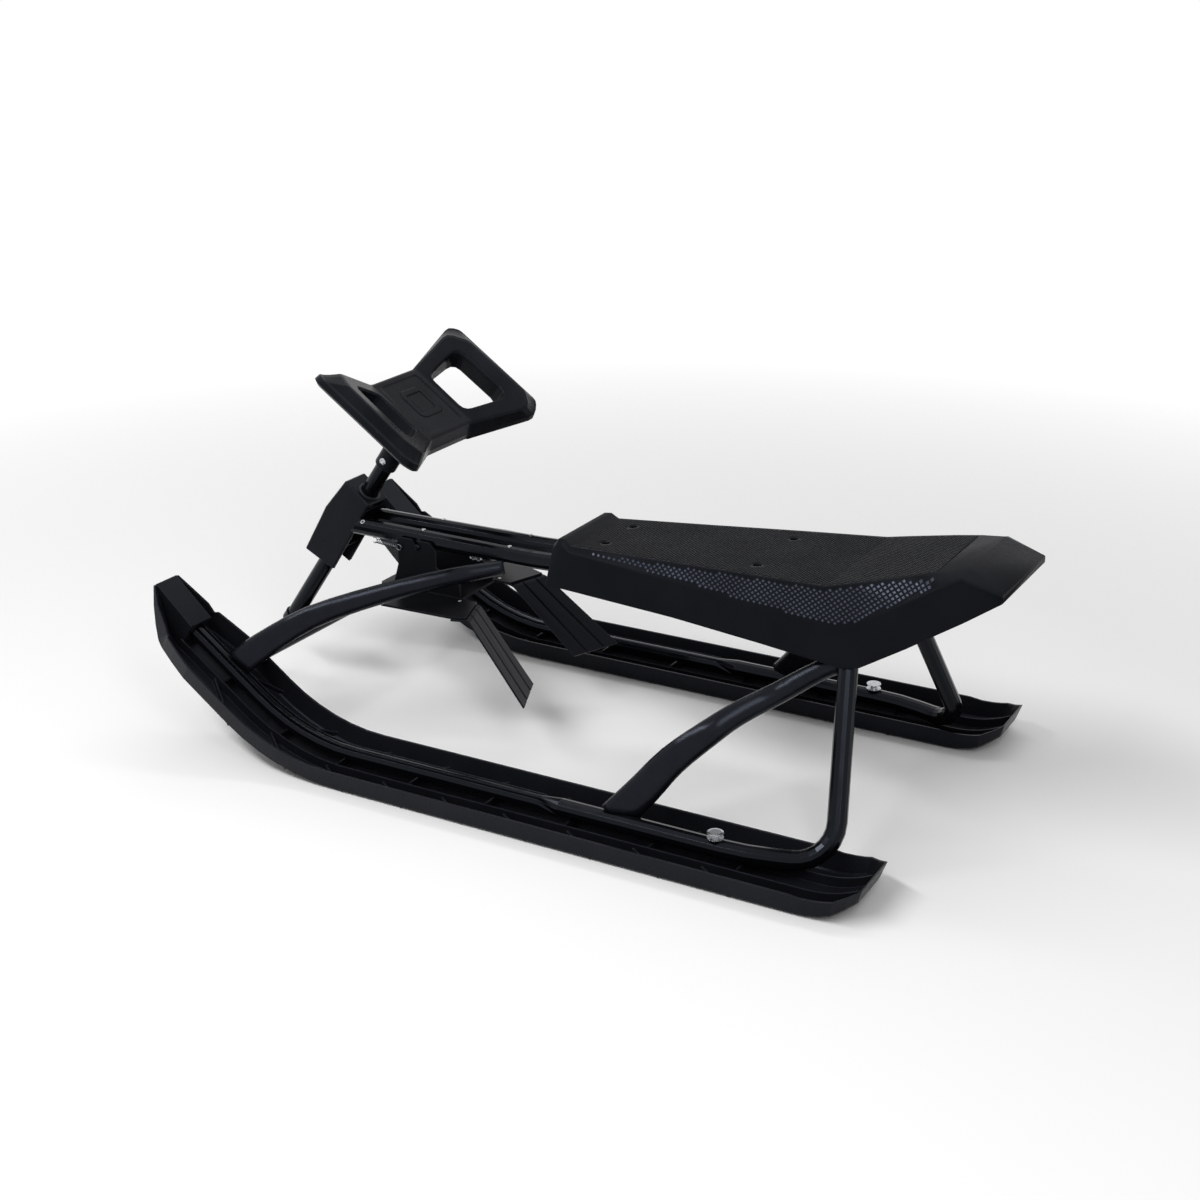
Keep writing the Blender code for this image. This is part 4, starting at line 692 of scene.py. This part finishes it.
class SLED_OT_small_screws(bpy.types.Operator):
    """Make the screws at the beams' front ends and the rivets of the foot plate"""

    bl_idname = "sled.small_screws"
    bl_label = "Small screws and rivets"

    def execute(self, context):
        zinc = finish("bright_zinc_plate")
        place = at(0.8872, 0.0312, 0.2698)
        screw = pan_head("head_screw_left", 0.0034, 0.0022)
        twin = copy_of(screw, "head_screw_right")
        put(screw, place, HEAD_SCREW_TURN)
        put(twin, mirrored(place), mirrored(HEAD_SCREW_TURN))
        for piece in (screw, twin):
            hand_over(piece, "frame", zinc)
        place = at(0.7097, 0.0520, 0.1879)
        rivet = dome_rivet("plate_rivet_left", 0.0024, 0.0013)
        twin = copy_of(rivet, "plate_rivet_right")
        put(rivet, place)
        put(twin, mirrored(place))
        for piece in (rivet, twin):
            hand_over(piece, "brake", zinc)
        master = pan_head("beam_screw_head", 0.0030, 0.0022)
        for node in both_sides("beam_screw_1", "beam_screw_2"):
            piece = copy_of(master, node + "_head")
            put(piece, (*middle_of(node), BEAM_TOP))
            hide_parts(node)
            hand_over(piece, "frame", zinc)
        bpy.data.objects.remove(master)
        return {"FINISHED"}


class SLED_OT_beam_nuts(bpy.types.Operator):
    """Make the nuts with their bolt ends under the beams, over the front struts"""

    bl_idname = "sled.beam_nuts"
    bl_label = "Nuts under the beams"

    def execute(self, context):
        radius, height, ring, bolt_end = 0.0046, 0.0034, 0.0017, 0.0019
        clear_selection()
        bpy.ops.mesh.primitive_cylinder_add(vertices=6, radius=radius, depth=height,
                                            location=(0.0, 0.0, height / 2))
        nut = start_piece("beam_nut")
        pick(nut, "faces", lambda middle, normal: normal.z > 0.9)
        bpy.ops.mesh.inset(thickness=ring)
        bpy.ops.mesh.extrude_region_move(TRANSFORM_OT_translate={"value": (0.0, 0.0, bolt_end)})
        pick(nut, "edges", lambda middle, edge: middle.z > height - 0.0001)
        bpy.ops.mesh.bevel(offset=0.0004, segments=2, profile=0.5)
        end_piece(nut, 35.0)
        for side, sign in (("left", 1.0), ("right", -1.0)):
            for number, x in enumerate((0.6985, 0.6893), 1):
                piece = copy_of(nut, f"beam_nut_{number}_{side}")
                put(piece, at(x, 0.0315 * sign, BEAM_BOTTOM), (0.0, 0.0, -1.0))
                hand_over(piece, "frame", finish("bright_zinc_plate"))
        bpy.data.objects.remove(nut)
        return {"FINISHED"}


class SLED_OT_spring_ends(bpy.types.Operator):
    """Bend the brake spring's wire ends: a closed eye at the cheek and an open hook at the beam"""

    bl_idname = "sled.spring_ends"
    bl_label = "Spring ends"

    def execute(self, context):
        steel = finish("oiled_spring_steel")
        loop_radius, wire_radius = 0.0040, 0.0007
        for name, place, opening in (("spring_eye", at(0.8139, 0.0470, 0.2486), 0.0),
                                     ("spring_hook", at(0.8583, 0.0430, 0.2508), 100.0)):
            clear_selection()
            bpy.ops.mesh.primitive_torus_add(location=ORIGIN, major_radius=loop_radius,
                                             minor_radius=wire_radius, major_segments=32, minor_segments=10)
            loop = start_piece(name)
            if opening:
                start = math.radians(-60.0)
                end = start + math.radians(opening)
                pick(loop, "faces", lambda middle, normal: start < math.atan2(middle.y, middle.x) < end)
                bpy.ops.mesh.delete(type="FACE")
                bpy.ops.mesh.select_all(action="SELECT")
                bpy.ops.mesh.region_to_loop()
                bpy.ops.mesh.edge_face_add()
            end_piece(loop, 60.0)
            put(loop, place, (0.0, 1.0, 0.0))
            hand_over(loop, "spring", steel)
        return {"FINISHED"}


class SLED_OT_stage(bpy.types.Operator):
    """Make the pale floor, the soft lamps and the camera at the photograph's angle"""

    bl_idname = "sled.stage"
    bl_label = "Stage"

    def execute(self, context):
        scene = context.scene
        values = scene.sled_view
        bpy.ops.mesh.primitive_circle_add(vertices=96, radius=FLOOR_RADIUS, fill_type="NGON", location=ORIGIN)
        floor = context.object
        floor.name = "floor"
        floor.data.materials.append(pale_floor(scene.sled_colours.floor))

        world = bpy.data.worlds.new("studio")
        scene.world = world
        world.use_nodes = True
        tree = world.node_tree
        background = tree.nodes["Background"]
        background.inputs["Color"].default_value = WHITE
        path = add_node(tree, "ShaderNodeLightPath")
        direct = add_node(tree, "ShaderNodeMath", {"operation": "MAXIMUM"},
                          {0: path.outputs["Is Camera Ray"], 1: path.outputs["Is Transmission Ray"]})
        seen = add_node(tree, "ShaderNodeMath", {"operation": "MAXIMUM"},
                        {0: direct.outputs[0], 1: path.outputs["Is Glossy Ray"]})
        strength = add_node(tree, "ShaderNodeMapRange", None,
                            {"Value": seen.outputs[0], "To Min": WORLD_LIGHT, "To Max": 1.0})
        tree.links.new(strength.outputs["Result"], background.inputs["Strength"])

        for name, place, size, power, aim in LAMPS:
            lamp = bpy.data.lights.new(name, "AREA")
            lamp.shape = "RECTANGLE"
            lamp.size, lamp.size_y = size
            lamp.energy = power
            obj = bpy.data.objects.new(name, lamp)
            obj.location = place
            obj.rotation_euler = (Vector(place) - Vector(aim)).to_track_quat("Z", "Y").to_euler()
            scene.collection.objects.link(obj)

        forward = Vector((math.cos(values.tilt) * math.cos(values.heading),
                          math.cos(values.tilt) * math.sin(values.heading), -math.sin(values.tilt)))
        level = forward.cross(Vector((0.0, 0.0, 1.0))).normalized()
        up = level.cross(forward)
        right = level * math.cos(values.roll) + up * math.sin(values.roll)
        up = up * math.cos(values.roll) - level * math.sin(values.roll)
        camera = bpy.data.objects.new("camera", bpy.data.cameras.new("camera"))
        camera.data.lens = values.lens
        camera.data.sensor_width = 36.0
        turn = Matrix((right, up, -forward)).transposed().to_4x4()
        camera.matrix_world = Matrix.Translation(values.eye) @ turn
        scene.collection.objects.link(camera)
        scene.camera = camera
        scene.view_settings.view_transform = "Standard"
        return {"FINISHED"}


class SLED_PT_panel(bpy.types.Panel):
    """One button for each step, in order"""

    bl_label = "Steering sled"
    bl_idname = "SLED_PT_panel"
    bl_space_type = "VIEW_3D"
    bl_region_type = "UI"
    bl_category = "Sled"

    def draw(self, context):
        for step in STEPS:
            self.layout.operator(step.bl_idname)


STEPS = (SLED_OT_finishes, SLED_OT_seat_shell, SLED_OT_seat_lozenges, SLED_OT_plate_panel,
         SLED_OT_column_collar, SLED_OT_small_screws, SLED_OT_beam_nuts, SLED_OT_spring_ends, SLED_OT_stage)
GROUPS = (SledColours, SledView)


def register():
    for item in (*GROUPS, *STEPS, SLED_PT_panel):
        bpy.utils.register_class(item)
    bpy.types.Scene.sled_colours = bpy.props.PointerProperty(type=SledColours)
    bpy.types.Scene.sled_view = bpy.props.PointerProperty(type=SledView)


def unregister():
    del bpy.types.Scene.sled_view
    del bpy.types.Scene.sled_colours
    for item in reversed((*GROUPS, *STEPS, SLED_PT_panel)):
        bpy.utils.unregister_class(item)


def main():
    register()
    bpy.ops.sled.finishes()
    bpy.ops.sled.seat_shell()
    bpy.ops.sled.seat_lozenges()
    bpy.ops.sled.plate_panel()
    bpy.ops.sled.column_collar()
    bpy.ops.sled.small_screws()
    bpy.ops.sled.beam_nuts()
    bpy.ops.sled.spring_ends()
    bpy.ops.sled.stage()


if __name__ == "__main__":
    main()
